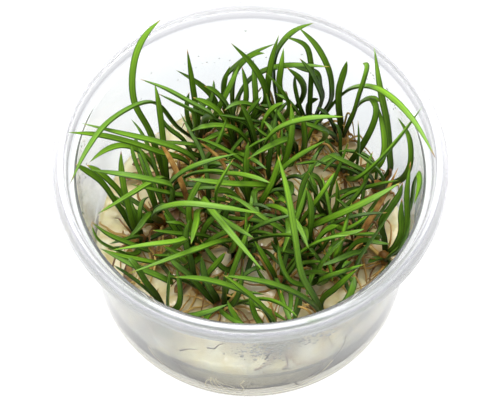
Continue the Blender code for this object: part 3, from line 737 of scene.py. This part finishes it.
class Builder:
    """Collects closed shapes with values at their points, and makes one mesh object of them."""

    def __init__(self):
        self.points = []
        self.faces = []
        self.values = {}
        self.count = 0

    def add(self, points, faces, **values):
        self.points.append(points)
        self.faces.extend(tuple(self.count + i for i in face) for face in faces)
        for name, value in values.items():
            self.values.setdefault(name, []).append(np.broadcast_to(value, (len(points),)))
        self.count += len(points)

    def make(self, name, material, smooth=True):
        mesh = bpy.data.meshes.new(name)
        mesh.from_pydata((np.concatenate(self.points) * MM).tolist(), [], self.faces)
        for key, parts in self.values.items():
            layer = mesh.attributes.new(key, "FLOAT", "POINT")
            layer.data.foreach_set("value", np.concatenate(parts).astype(np.float32))
        mesh.shade_smooth() if smooth else mesh.shade_flat()
        mesh.materials.append(material)
        obj = bpy.data.objects.new(name, mesh)
        bpy.context.scene.collection.objects.link(obj)
        return obj


def start_material(name, roughness):
    """A material and its node tree and shader."""
    material = bpy.data.materials.new(name)
    material.use_nodes = True
    tree = material.node_tree
    shader = tree.nodes["Principled BSDF"]
    set_inputs(tree, shader, {"Roughness": roughness})
    return material, tree, shader


def set_inputs(tree, node, values):
    """Sets the named inputs of a node to plain values, or joins them to the sockets that feed them."""
    for name, value in values.items():
        if isinstance(value, bpy.types.NodeSocket):
            tree.links.new(value, node.inputs[name])
        else:
            node.inputs[name].default_value = value


def add_noise(tree, scale, detail=3.0, stretch=None):
    """A noise pattern fixed to the object; the scale counts patches a metre."""
    place = tree.nodes.new("ShaderNodeTexCoord")
    source = place.outputs["Object"]
    if stretch:
        mapping = tree.nodes.new("ShaderNodeMapping")
        set_inputs(tree, mapping, {"Scale": stretch, "Vector": source})
        source = mapping.outputs["Vector"]
    pattern = tree.nodes.new("ShaderNodeTexNoise")
    set_inputs(tree, pattern, {"Scale": scale, "Detail": detail, "Vector": source})
    return pattern.outputs["Fac"]


def add_value(tree, name):
    """A value that the mesh holds at its points."""
    attribute = tree.nodes.new("ShaderNodeAttribute")
    attribute.attribute_name = name
    return attribute.outputs["Fac"]


def add_patchy(tree, name, pattern, share):
    """A value of the mesh, made higher and lower in the patches of a pattern."""
    level = add_math(tree, "SUBTRACT", add_value(tree, name), share / 2.0)
    return add_math(tree, "MULTIPLY_ADD", pattern, share, level)


def add_height(tree):
    """The height above the table, as a share of the cup's."""
    place = tree.nodes.new("ShaderNodeTexCoord")
    split = tree.nodes.new("ShaderNodeSeparateXYZ")
    tree.links.new(place.outputs["Object"], split.inputs["Vector"])
    return add_math(tree, "DIVIDE", split.outputs["Z"], CUP_HEIGHT * MM)


def add_ramp(tree, source, stops):
    """Colours along a value, from (place, colour) pairs."""
    ramp = tree.nodes.new("ShaderNodeValToRGB")
    points = ramp.color_ramp.elements
    while len(points) > 1:
        points.remove(points[-1])
    for index, (place, color) in enumerate(stops):
        point = points[0] if index == 0 else points.new(place)
        point.position = place
        point.color = (*color, 1.0)
    tree.links.new(source, ramp.inputs["Fac"])
    return ramp.outputs["Color"]


def add_math(tree, operation, a, b, c=None):
    step = tree.nodes.new("ShaderNodeMath")
    step.operation = operation
    for socket, value in zip(step.inputs, (a, b, c)):
        if value is None:
            continue
        if isinstance(value, float):
            socket.default_value = value
        else:
            tree.links.new(value, socket)
    return step.outputs["Value"]


def add_mix(tree, blend, share, a, b):
    """Two colours blended by a share, which is a number or a socket."""
    mix = tree.nodes.new("ShaderNodeMix")
    mix.data_type = "RGBA"
    mix.blend_type = blend
    for socket, value in ((mix.inputs[0], share), (mix.inputs[6], a), (mix.inputs[7], b)):
        if isinstance(value, float):
            socket.default_value = value
        elif isinstance(value, tuple):
            socket.default_value = (*value, 1.0)
        else:
            tree.links.new(value, socket)
    return mix.outputs[2]


def add_bump(tree, shader, source, strength, distance):
    bump = tree.nodes.new("ShaderNodeBump")
    set_inputs(tree, bump, {"Strength": strength, "Distance": distance, "Height": source})
    set_inputs(tree, shader, {"Normal": bump.outputs["Normal"]})


def leaf_material():
    """Waxy green, darker low down by the crown and brighter at the top as painted shade and painted light,
    with a painted highlight along one half of each blade, painted shade on the other half, its edges and its
    midrib, brown age and dark tips.
    """
    material, tree, shader = start_material("leaf_green", 0.33)
    patches = add_noise(tree, 300.0)
    fibres = add_noise(tree, 2600.0, 2.0)
    # The tone carries painted light and painted shade: brighter high up, darker low down
    tone = add_patchy(tree, "tone", patches, 0.36)
    green = add_ramp(tree, tone, LEAF_GREENS_WITH_PAINTED_LIGHT)
    # Painted highlight on one half of the blade, painted shade on the other half, its edges and its midrib
    painted_side_light = add_ramp(tree, add_math(tree, "MULTIPLY_ADD", add_value(tree, "across"), 0.5, 0.5), LEAF_PAINTED_SIDE_LIGHT)
    green = add_mix(tree, "MULTIPLY", 1.0, green, painted_side_light)
    place = tree.nodes.new("ShaderNodeCombineXYZ")
    for axis, name, scale in GRAIN_SCALES:
        set_inputs(tree, place, {axis: add_math(tree, "MULTIPLY", add_value(tree, name), scale)})
    grain = tree.nodes.new("ShaderNodeTexNoise")
    set_inputs(tree, grain, {"Scale": 2.0, "Detail": 4.0, "Vector": place.outputs["Vector"]})
    green = add_mix(tree, "MULTIPLY", 1.0, green, add_ramp(tree, grain.outputs["Fac"], LEAF_STREAKS))
    base = add_ramp(tree, add_value(tree, "along"), LEAF_BASE)
    green = add_mix(tree, "MULTIPLY", 1.0, green, base)
    brown = add_ramp(tree, patches, LEAF_BROWNS)
    aged = add_patchy(tree, "age", patches, 0.5)
    aged = add_ramp(tree, aged, LEAF_AGED)
    color = add_mix(tree, "MIX", aged, green, brown)
    rough = add_math(tree, "MULTIPLY_ADD", fibres, 0.2, 0.34)
    set_inputs(tree, shader, {"Base Color": color, "Roughness": rough, "Specular IOR Level": 0.22})
    add_bump(tree, shader, fibres, 0.25, 0.00006)
    return material


def dead_material():
    """Limp brown leaf with darker streaks."""
    material, tree, shader = start_material("dead_leaf", 0.5)
    streaks = add_noise(tree, 420.0, 4.0)
    color = add_ramp(tree, streaks, DEAD_BROWNS)
    edge = add_ramp(tree, add_math(tree, "ABSOLUTE", add_value(tree, "across"), 0.0), DEAD_EDGE)
    rough = add_math(tree, "MULTIPLY_ADD", streaks, 0.3, 0.25)
    set_inputs(tree, shader, {"Base Color": add_mix(tree, "MULTIPLY", 1.0, color, edge), "Roughness": rough})
    add_bump(tree, shader, add_noise(tree, 1800.0, 3.0), 0.5, 0.0001)
    return material


def root_material():
    material, tree, shader = start_material("root_tissue_and_seam_shade", 0.4)
    set_inputs(tree, shader, {"Base Color": add_ramp(tree, add_value(tree, "tone"), ROOT_COLORS)})
    add_bump(tree, shader, add_noise(tree, 2200.0, 2.0), 0.3, 0.00006)
    return material


def gel_material():
    """Wet cloudy gel: cream with warmer lumps, light passing under its surface."""
    material, tree, shader = start_material("agar_gel", 0.12)
    lumps = add_noise(tree, 110.0, 4.0)
    cream = add_ramp(tree, lumps, GEL_CREAMS)
    stain = add_patchy(tree, "stain", lumps, 0.6)
    stain = add_ramp(tree, stain, GEL_STAINED)
    color = add_mix(tree, "MIX", stain, cream, GEL_STAIN)
    set_inputs(tree, shader, {"Base Color": color, "IOR": 1.34, "Coat Weight": 0.25, "Coat Roughness": 0.08,
                              "Subsurface Weight": 0.35, "Subsurface Radius": (1.0, 0.8, 0.5),
                              "Subsurface Scale": 0.004})
    add_bump(tree, shader, add_noise(tree, 200.0, 2.0, (1.0, 1.0, 0.4)), 0.35, 0.0008)
    return material


def plastic_material():
    """Clear moulded plastic, clouded by condensation on its inside where the wall rises above the gel."""
    material, tree, shader = start_material("clear_plastic", 0.08)
    height = add_height(tree)
    set_inputs(tree, shader, {"Base Color": add_ramp(tree, height, PLASTIC_TINTS),
                              "Transmission Weight": 0.95, "IOR": PLASTIC_IOR})
    clouded = add_mix(tree, "MULTIPLY", 1.0, add_ramp(tree, height, CLOUDED), add_value(tree, "inside"))
    cloud = add_ramp(tree, add_noise(tree, 45.0, 4.0), CLOUD_ROUGHNESS)
    set_inputs(tree, shader, {"Roughness": add_mix(tree, "MIX", clouded, CLEAR_ROUGHNESS, cloud)})
    waves = add_mix(tree, "MULTIPLY", 1.0, clouded, add_noise(tree, 60.0, 3.0, (1.0, 1.0, 0.25)))
    add_bump(tree, shader, waves, 0.15, 0.0003)
    return material


def gel_side_material():
    """The side of the gel, with painted shade above a seam and near black painted shade in the seam itself.
    It glows with painted light that stands in for the light that comes through the wall.
    """
    material, tree, shader = start_material("agar_gel_side", 0.6)
    side = add_ramp(tree, add_value(tree, "band"), GEL_SIDE_COLORS_AND_SHADE)
    lumps = add_ramp(tree, add_noise(tree, 160.0, 3.0), GEL_SIDE_LUMPS)
    color = add_mix(tree, "MULTIPLY", 1.0, side, lumps)
    # The glow is painted light
    set_inputs(tree, shader, {"Base Color": color, "Specular IOR Level": 0.05, "Emission Color": color,
                              "Emission Strength": GEL_SIDE_PAINTED_GLOW})
    add_bump(tree, shader, add_noise(tree, 200.0, 2.0), 0.3, 0.0005)
    return material


def rim_material():
    """The thick rim, whiter and softer than the wall, with painted highlights and painted shade in fine
    rings where its steps catch and lose the light, and painted shade low down under the flange.
    """
    material, tree, shader = start_material("rim_plastic", 0.3)
    # Painted shade low on the rim, and rings of painted highlight and painted shade on its steps
    heights = add_ramp(tree, add_height(tree), RIM_PAINTED_LOW_SHADE)
    turns = add_ramp(tree, add_value(tree, "reach"), RIM_PAINTED_STEP_RINGS)
    set_inputs(tree, shader, {"Base Color": add_mix(tree, "MULTIPLY", 1.0, heights, turns),
                              "Roughness": add_math(tree, "MULTIPLY_ADD", add_noise(tree, 90.0), 0.1, 0.2),
                              "Transmission Weight": 0.85, "IOR": PLASTIC_IOR})
    return material


def water_material():
    material, tree, shader = start_material("water_drops", 0.0)
    set_inputs(tree, shader, {"Base Color": (*WATER_COLOR, 1.0), "Transmission Weight": 1.0,
                              "IOR": WATER_IOR})
    add_bump(tree, shader, add_noise(tree, 900.0, 1.0), 0.1, 0.0001)
    return material


def cup_profile():
    """The cup's section, from the middle of its underside out and up, over the rim and back to its floor."""
    rim_inner = FLANGE_RADIUS - RIM_WIDTH
    ledge = WALL_TOP_RADIUS + LEDGE_WIDTH
    lip_inner = FLANGE_RADIUS - FLANGE_LIP
    inside_foot = WALL_FOOT_RADIUS - WALL
    return (
        (0.0, FOOT_HOLLOW), (FOOT_RING_INNER - FOOT_HOLLOW, FOOT_HOLLOW),
        (FOOT_RING_INNER, 0.0), (FOOT_RING_OUTER, 0.0),
        (WALL_FOOT_RADIUS - GAP, FOOT_HOLLOW), (WALL_FOOT_RADIUS, FOOT_ROUND_Z),
        (WALL_TOP_RADIUS, WALL_TOP_Z), (ledge + WALL, LEDGE_Z),
        (rim_inner + GAP, FLANGE_LOW_Z + WALL), (lip_inner, FLANGE_LOW_Z + WALL),
        (lip_inner, FLANGE_LOW_Z), (FLANGE_RADIUS, FLANGE_LOW_Z),
        (FLANGE_RADIUS, FLANGE_TOP_Z), (rim_inner + RIM_FLAT, CUP_HEIGHT),
        (rim_inner, CUP_HEIGHT), (ledge, LEDGE_Z + WALL), (WALL_TOP_RADIUS - WALL, LEDGE_Z),
        (inside_foot, FLOOR_Z + FLOOR_ROUND), (inside_foot - FLOOR_ROUND, FLOOR_Z), (0.0, FLOOR_Z),
    )


def rounded_profile(profile):
    """The profile with each inner corner turned into a small arc."""
    corners = [np.array(corner) for corner in profile]
    rounded = [corners[0]]
    for before, corner, after in zip(corners, corners[1:], corners[2:]):
        length_in, length_out = np.linalg.norm(before - corner), np.linalg.norm(after - corner)
        room = min(CORNER_RADIUS, CORNER_SHARE * length_in, CORNER_SHARE * length_out)
        start = corner + (before - corner) / length_in * room
        end = corner + (after - corner) / length_out * room
        for step in range(CORNER_STEPS):
            t = step / (CORNER_STEPS - 1)
            rounded.append((1 - t) ** 2 * start + 2 * t * (1 - t) * corner + t ** 2 * end)
    rounded.append(corners[-1])
    return rounded


def lathe(profile, sides):
    """Points and faces of a profile turned round the axis. Its first and last points lie on the axis."""
    turns = round_turns(sides)
    circle = np.stack([np.cos(turns), np.sin(turns), np.zeros(sides)], axis=1)
    rings = [circle * radius + np.array((0.0, 0.0, z)) for radius, z in profile[1:-1]]
    points = np.concatenate(rings)
    points = np.concatenate([points, [(0.0, 0.0, profile[0][1]), (0.0, 0.0, profile[-1][1])]])
    faces = ring_faces(len(rings), sides)
    bottom, top, last = len(points) - 2, len(points) - 1, (len(rings) - 1) * sides
    for side in range(sides):
        after = (side + 1) % sides
        faces.append((bottom, after, side))
        faces.append((last + side, last + after, top))
    return points, faces


def build_cup(plastic, rim_plastic):
    profile = rounded_profile(cup_profile())
    points, faces = lathe(profile, CUP_SIDES)
    heights = [z for _, z in profile[1:-1]]
    top = heights.index(max(heights))
    inside = np.append(np.repeat(np.arange(len(heights)) > top, CUP_SIDES), (False, True))
    cup = Builder()
    reach = np.linalg.norm(points[:, :2], axis=1) / FLANGE_RADIUS
    cup.add(points, faces, inside=inside.astype(float), reach=reach)
    shell = cup.make("cup_shell", plastic)
    shell.data.materials.append(rim_plastic)
    for face in shell.data.polygons:
        face.material_index = int(face.center.z > RIM_FROM_Z * MM)
    return shell


def gel_surface(x, y):
    """The top of the gel with its broken lumps."""
    place = Vector((x / GEL_FOLD_SIZE, y / GEL_FOLD_SIZE, GEL_FOLD_SLICE))
    fold = abs(noise.noise(place)) ** GEL_FOLD_POWER
    fine = noise.noise(Vector((x / GEL_FINE_SIZE, y / GEL_FINE_SIZE, GEL_FINE_SLICE)))
    return gel_height(x, y) + GEL_FOLD * (fold - GEL_FOLD_MIDDLE) + GEL_FINE * fine


def gel_side_dip(x, y, z):
    """How far the side of the gel stands back from the wall: folds, and a seam round it."""
    place = Vector((x / GEL_SIDE_FOLD_SIZE, y / GEL_SIDE_FOLD_SIZE, z / GEL_SIDE_FOLD_HEIGHT))
    fold = max(0.0, noise.noise(place))
    seam = np.exp(-((z - GEL_SEAM_Z) / GEL_SEAM_WIDTH) ** 2)
    return GEL_SIDE_FOLD * fold + GEL_SEAM * seam


def build_gel(material, side_material):
    """The cake of gel, as wide as its solid, with a lumpy top."""
    side = wall_radius(GEL_Z) - WALL - GAP - GEL_SLACK
    foot = WALL_FOOT_RADIUS - WALL - GEL_FOOT_INSET
    ring_count = int(side / GEL_RING_STEP)
    low = FLOOR_Z + GAP
    profile = [(0.0, low), (foot / 2.0, low), (foot, low), (foot + GEL_FOOT_STEP, GEL_FOOT_STEP_Z),
               (side - GEL_SIDE_INSET, GEL_SIDE_LOW_Z)]
    profile += [(side, z) for z in np.linspace(GEL_SIDE_FROM_Z, GEL_Z - GEL_EDGE_DROP, GEL_SIDE_RINGS)]
    profile += [(side * (1.0 - ring / ring_count), GEL_Z) for ring in range(1, ring_count)]
    profile.append((0.0, GEL_Z))
    points, faces = lathe(profile, GEL_SIDES)
    for index, (x, y, z) in enumerate(points):
        if z > GEL_Z - GEL_TOP_DEPTH:
            points[index, 2] = gel_surface(x, y)
        elif z > GEL_SEAM_Z - GEL_SEAM_REACH:
            points[index, :2] *= 1.0 - gel_side_dip(x, y, z) / side
    crowns = np.array([crown for crown, _ in PLANTLETS])
    apart = np.linalg.norm(points[:, None, :2] - crowns[None, :, :], axis=2)
    stain = 1.0 - np.prod(1.0 - STAIN_MOST * np.exp(-(apart / STAIN_REACH) ** 2), axis=1)
    gel = Builder()
    # Painted shade on the side of the gel: near black at the seam, and half as dark above it
    from_seam = (points[:, 2] - GEL_SEAM_Z) / SEAM_SHADE_WIDTH
    seam = np.exp(-from_seam ** 2)
    above = SHADE_ABOVE_SEAM * np.clip(from_seam, 0.0, 1.0)
    on_side = points[:, 2] < GEL_Z - GEL_SIDE_DEPTH
    gel.add(points, faces, stain=stain * ~on_side, band=np.maximum(seam, above))
    cake = gel.make("gel_cake", material)
    cake.data.materials.append(side_material)
    for face in cake.data.polygons:
        below = face.center.z < (GEL_Z - GEL_SIDE_DEPTH) * MM
        face.material_index = int(below and abs(face.normal.z) < STEEP)
    return cake


def add_crown(plantlet, crown, number):
    """The short thick base of a plantlet, dark and wrapped in the bases of old leaves."""
    x, y = crown
    ground = gel_height(x, y)
    chance = np.random.default_rng(CROWN_SEED + number)
    points = []
    for z, radius in CROWN_LEVELS:
        turns = round_turns(CROWN_SIDES)
        rough = CROWN_LOBE * np.sin(CROWN_LOBES * turns + number)
        rough += chance.uniform(-CROWN_ROUGH, CROWN_ROUGH, CROWN_SIDES)
        radii = radius * (1.0 + rough)
        points.append(np.stack([x + radii * np.cos(turns), y + radii * np.sin(turns),
                                np.full(CROWN_SIDES, ground + z)], axis=1))
    faces = tube_faces(len(CROWN_LEVELS), CROWN_SIDES, False)
    plantlet.add(np.concatenate(points), faces, along=0.0, across=0.0, seed=0.5, tone=0.05, age=0.75)


def leaf_tones_and_painted_light(points, tone):
    """How bright each point of a leaf is: its own tone, plus painted light that makes it brighter the higher
    it stands, so that its low parts look shaded.
    """
    height = (points[:, 2] - GEL_Z) / (CUP_HEIGHT - GEL_Z)
    return np.clip(tone * OWN_TONE + HEIGHT_PAINTED_LIGHT * height + LEAST_TONE, 0.0, 1.0)


def build_plantlet(owner, crown, paths, inner_from, material):
    """One plantlet: its crown and its fine leaves in one piece."""
    plantlet = Builder()
    add_crown(plantlet, crown, owner)
    chance = np.random.default_rng(LEAF_SEED + owner)
    section = blade_section(*LEAF_SECTION)
    blade_faces = tube_faces(LEAF_RINGS - 1, LEAF_SIDES, True)
    for number, path in enumerate(paths):
        inner = number >= inner_from
        width = LEAF_WIDTH * chance.uniform(*(INNER_WIDTHS if inner else LEAF_WIDTHS))
        points, along = blade(path, width, section, chance.uniform(*LEAF_ROLL), chance.uniform(*TIP_FROM))
        tone = chance.uniform(*(INNER_TONES if inner else LEAF_TONES))
        across = np.append(np.tile(section[0], LEAF_RINGS - 1), 0.0)
        dark_tip = chance.uniform(*TIP_AGES) * np.clip((along - TIP_AGE_FROM) / TIP_AGE_OVER, 0.0, 1.0)
        old = float((owner, number) in STANDING_DEAD or (inner and chance.uniform() < OLD_SHARE))
        low = BASE_AGE * np.clip(1.0 - along / BASE_AGE_TO, 0.0, 1.0)
        age = np.maximum.reduce([dark_tip, low, np.full_like(along, old)])
        plantlet.add(points, blade_faces, along=along, across=across, seed=chance.uniform(),
                     tone=leaf_tones_and_painted_light(points, tone), age=age)
    return plantlet.make(f"plantlet_{owner + 1:02d}_leaves", material)


def build_dead_leaf(number, path, material):
    chance = np.random.default_rng(DEAD_LEAF_SEED + number)
    section = blade_section(*DEAD_SECTION)
    points, along = blade(path, DEAD_LEAF_WIDTH, section, chance.uniform(*DEAD_ROLL), TIP_FROM[1])
    across = np.append(np.tile(section[0], LEAF_RINGS - 1), 0.0)
    leaf = Builder()
    leaf.add(points, tube_faces(LEAF_RINGS - 1, LEAF_SIDES, True), across=across)
    return leaf.make(f"dead_leaf_{number + 1:02d}_strap", material)


def add_thread(threads, points, radius, tone):
    """A thin round root through the given points."""
    sides = ROOT_SIDES
    frames_side, frames_face = frames_along(points, 0.0)
    turns = round_turns(sides)
    taper = np.linspace(1.0, ROOT_TIP, len(points))
    ring = (points[:, None, :]
            + frames_side[:, None, :] * (np.cos(turns)[None, :] * radius * taper[:, None])[..., None]
            + frames_face[:, None, :] * (np.sin(turns)[None, :] * radius * taper[:, None])[..., None])
    threads.add(ring.reshape(-1, 3), tube_faces(len(points), sides, False), tone=tone)


def build_roots(material):
    """Roots and runners that wander over the gel from each crown. Some arch up, most lie half sunk in it."""
    threads = Builder()
    for owner, ((x, y), _) in enumerate(PLANTLETS):
        chance = np.random.default_rng(ROOT_SEED + owner)
        for _ in range(ROOTS_EACH):
            heading = chance.uniform(0.0, 2.0 * pi)
            length = chance.uniform(*ROOT_LENGTHS)
            bend = chance.uniform(*ROOT_BEND)
            place = np.array((x + ROOT_START * cos(heading), y + ROOT_START * sin(heading)))
            tone = chance.uniform(*ROOT_TONES)
            lift = ROOT_LIFT * chance.uniform() ** ROOT_LIFT_POWER
            points = []
            for step in range(ROOT_STEPS):
                reach = np.linalg.norm(place)
                most = wall_radius(GEL_Z) - WALL - GAP - ROOT_WALL_GAP
                spot = place * min(1.0, most / max(reach, TINY))
                share = step / (ROOT_STEPS - 1)
                wave = ROOT_WAVE * sin(step * ROOT_WAVE_STEP + owner)
                rise = ROOT_RISE + wave + 4.0 * share * (1.0 - share) * lift
                points.append((spot[0], spot[1], gel_surface(*spot) + rise))
                heading += bend + chance.uniform(*ROOT_WANDER)
                place = place + length / ROOT_STEPS * np.array((cos(heading), sin(heading)))
            add_thread(threads, np.array(points), chance.uniform(*ROOT_RADII), tone)
    return threads.make("roots", material)


def wall_place(turn, z, inset):
    """A point on the inside of the wall, set in from it."""
    radius = wall_radius(z) - WALL - inset
    return np.array((radius * cos(radians(turn)), radius * sin(radians(turn)), z))


def build_wall_roots(material):
    """Roots and dark cracks that show through the wall, where the gel meets it, and dark threads of painted
    shade round the seam of the gel.
    """
    threads = Builder()
    # The cracks take the darkest root colour; the lines round the seam among them are painted shade
    for lines, radius, tone in ((CRACKS_AND_SEAM_SHADE, CRACK_RADIUS, 0.0), (WALL_ROOTS, WALL_ROOT_RADIUS, 1.0)):
        for line in lines:
            knots = np.linspace(0.0, 1.0, len(line))
            shares = np.linspace(0.0, 1.0, ROOT_STEPS)
            turns = np.interp(shares, knots, [turn for turn, _ in line])
            heights = np.interp(shares, knots, [z for _, z in line])
            points = np.array([wall_place(turn, z, 0.0) for turn, z in zip(turns, heights)])
            add_thread(threads, points, radius, tone)
    return threads.make("wall_roots_cracks_and_seam_shade", material)


def add_drop(drops, turn, z, size):
    """One flattened drop on the inside of the wall."""
    out, side = out_and_left(turn)
    foot = wall_place(turn, z, -DROP_SINK)
    points = []
    for level in range(DROP_LEVELS):
        rise = level / (DROP_LEVELS - 0.5)
        spread = size * (1.0 - rise ** 2) ** 0.5
        for angle in round_turns(DROP_SIDES):
            flat = side * cos(angle) + UP * sin(angle)
            points.append(foot - out * rise * size * DROP_SHOULDER + flat * spread)
    points.append(foot - out * size * DROP_TOP)
    drops.add(np.array(points), tube_faces(DROP_LEVELS, DROP_SIDES, True))


def build_droplets(material):
    """Condensation on the inside of the wall above the gel, in patches."""
    drops = Builder()
    chance = np.random.default_rng(DROP_SEED)
    lowest, highest = GEL_Z + DROPS_ABOVE_GEL, WALL_TOP_Z - DROPS_BELOW_TOP
    for turn, z, turn_spread, z_spread, count, size in DROP_PATCHES:
        for _ in range(count):
            height = np.clip(chance.normal(z, z_spread / 2.0), lowest, highest)
            place = chance.normal(turn, turn_spread / 2.0)
            add_drop(drops, place, height, size * chance.uniform(*DROP_SIZES))
    return drops.make("droplets", material)


def build_stage():
    """A plain white floor that gives back as much light as it gets."""
    material, tree, shader = start_material("floor", 0.9)
    shade = add_ramp(tree, add_noise(tree, 3.0, 1.0), FLOOR_SHADES)
    set_inputs(tree, shader, {"Base Color": shade, "Emission Color": (*WHITE, 1.0),
                              "Emission Strength": FLOOR_GLOW})
    mesh = bpy.data.meshes.new("floor")
    corners = [(FLOOR_HALF * x, FLOOR_HALF * y, FLOOR_DROP) for x, y in ((-1, -1), (1, -1), (1, 1), (-1, 1))]
    mesh.from_pydata(corners, [], [(0, 1, 2, 3)])
    mesh.materials.append(material)
    floor = bpy.data.objects.new("floor", mesh)
    bpy.context.scene.collection.objects.link(floor)


def add_light(name, place, size, power):
    """A soft square light that looks at the plants."""
    data = bpy.data.lights.new(name, "AREA")
    data.shape = "SQUARE"
    data.size = size
    data.energy = power
    light = bpy.data.objects.new(name, data)
    light.location = place
    light.rotation_mode = "QUATERNION"
    light.rotation_quaternion = (Vector(place) - Vector(LIGHT_AIM)).to_track_quat("Z", "Y")
    bpy.context.scene.collection.objects.link(light)


def build_light():
    world = bpy.data.worlds.new("studio")
    world.use_nodes = True
    background = world.node_tree.nodes["Background"]
    set_inputs(world.node_tree, background, {"Color": (*WHITE, 1.0), "Strength": WORLD_LIGHT})
    bpy.context.scene.world = world
    add_light("key", KEY_PLACE, KEY_SIZE, KEY_POWER)
    add_light("fill", FILL_PLACE, FILL_SIZE, FILL_POWER)
    bpy.context.scene.view_settings.view_transform = "Standard"


def build_camera():
    data = bpy.data.cameras.new("camera")
    data.lens = LENS
    data.sensor_width = SENSOR
    data.clip_start = CLIP_START
    camera = bpy.data.objects.new("camera", data)
    rise = radians(CAMERA_ELEVATION)
    aim = Vector((0.0, 0.0, AIM_Z * MM))
    back = Vector((0.0, -cos(rise), sin(rise)))
    camera.location = aim + back * CAMERA_DISTANCE * MM
    camera.rotation_mode = "QUATERNION"
    camera.rotation_quaternion = back.to_track_quat("Z", "Y")
    bpy.context.scene.collection.objects.link(camera)
    bpy.context.scene.camera = camera


def place_piece(piece, slot, *nodes):
    """Joins a piece to the body and hides the solids that it stands for."""
    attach(piece, BODY)
    if nodes:
        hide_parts(*nodes)


def main():
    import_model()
    build_camera()
    build_light()
    build_stage()

    place_piece(build_cup(plastic_material(), rim_material()), "clear_plastic", "cup")
    place_piece(build_droplets(water_material()), "clear_plastic")
    place_piece(build_gel(gel_material(), gel_side_material()), "agar_gel", "gel")
    roots = root_material()
    place_piece(build_roots(roots), "dead_leaf")
    place_piece(build_wall_roots(roots), "dead_leaf")

    green = leaf_material()
    paths, owners, held = settled_leaves()
    for owner, (crown, leaves) in enumerate(PLANTLETS):
        own = [paths[i] for i in np.nonzero(owners == owner)[0]]
        piece = build_plantlet(owner, crown, own, len(leaves), green)
        place_piece(piece, "leaf_green", f"plantlet_{owner + 1:02d}")
    brown = dead_material()
    for number in range(len(DEAD_LEAVES)):
        piece = build_dead_leaf(number, paths[held - len(DEAD_LEAVES) + number], brown)
        place_piece(piece, "dead_leaf", f"dead_leaf_{number + 1:02d}")


main()
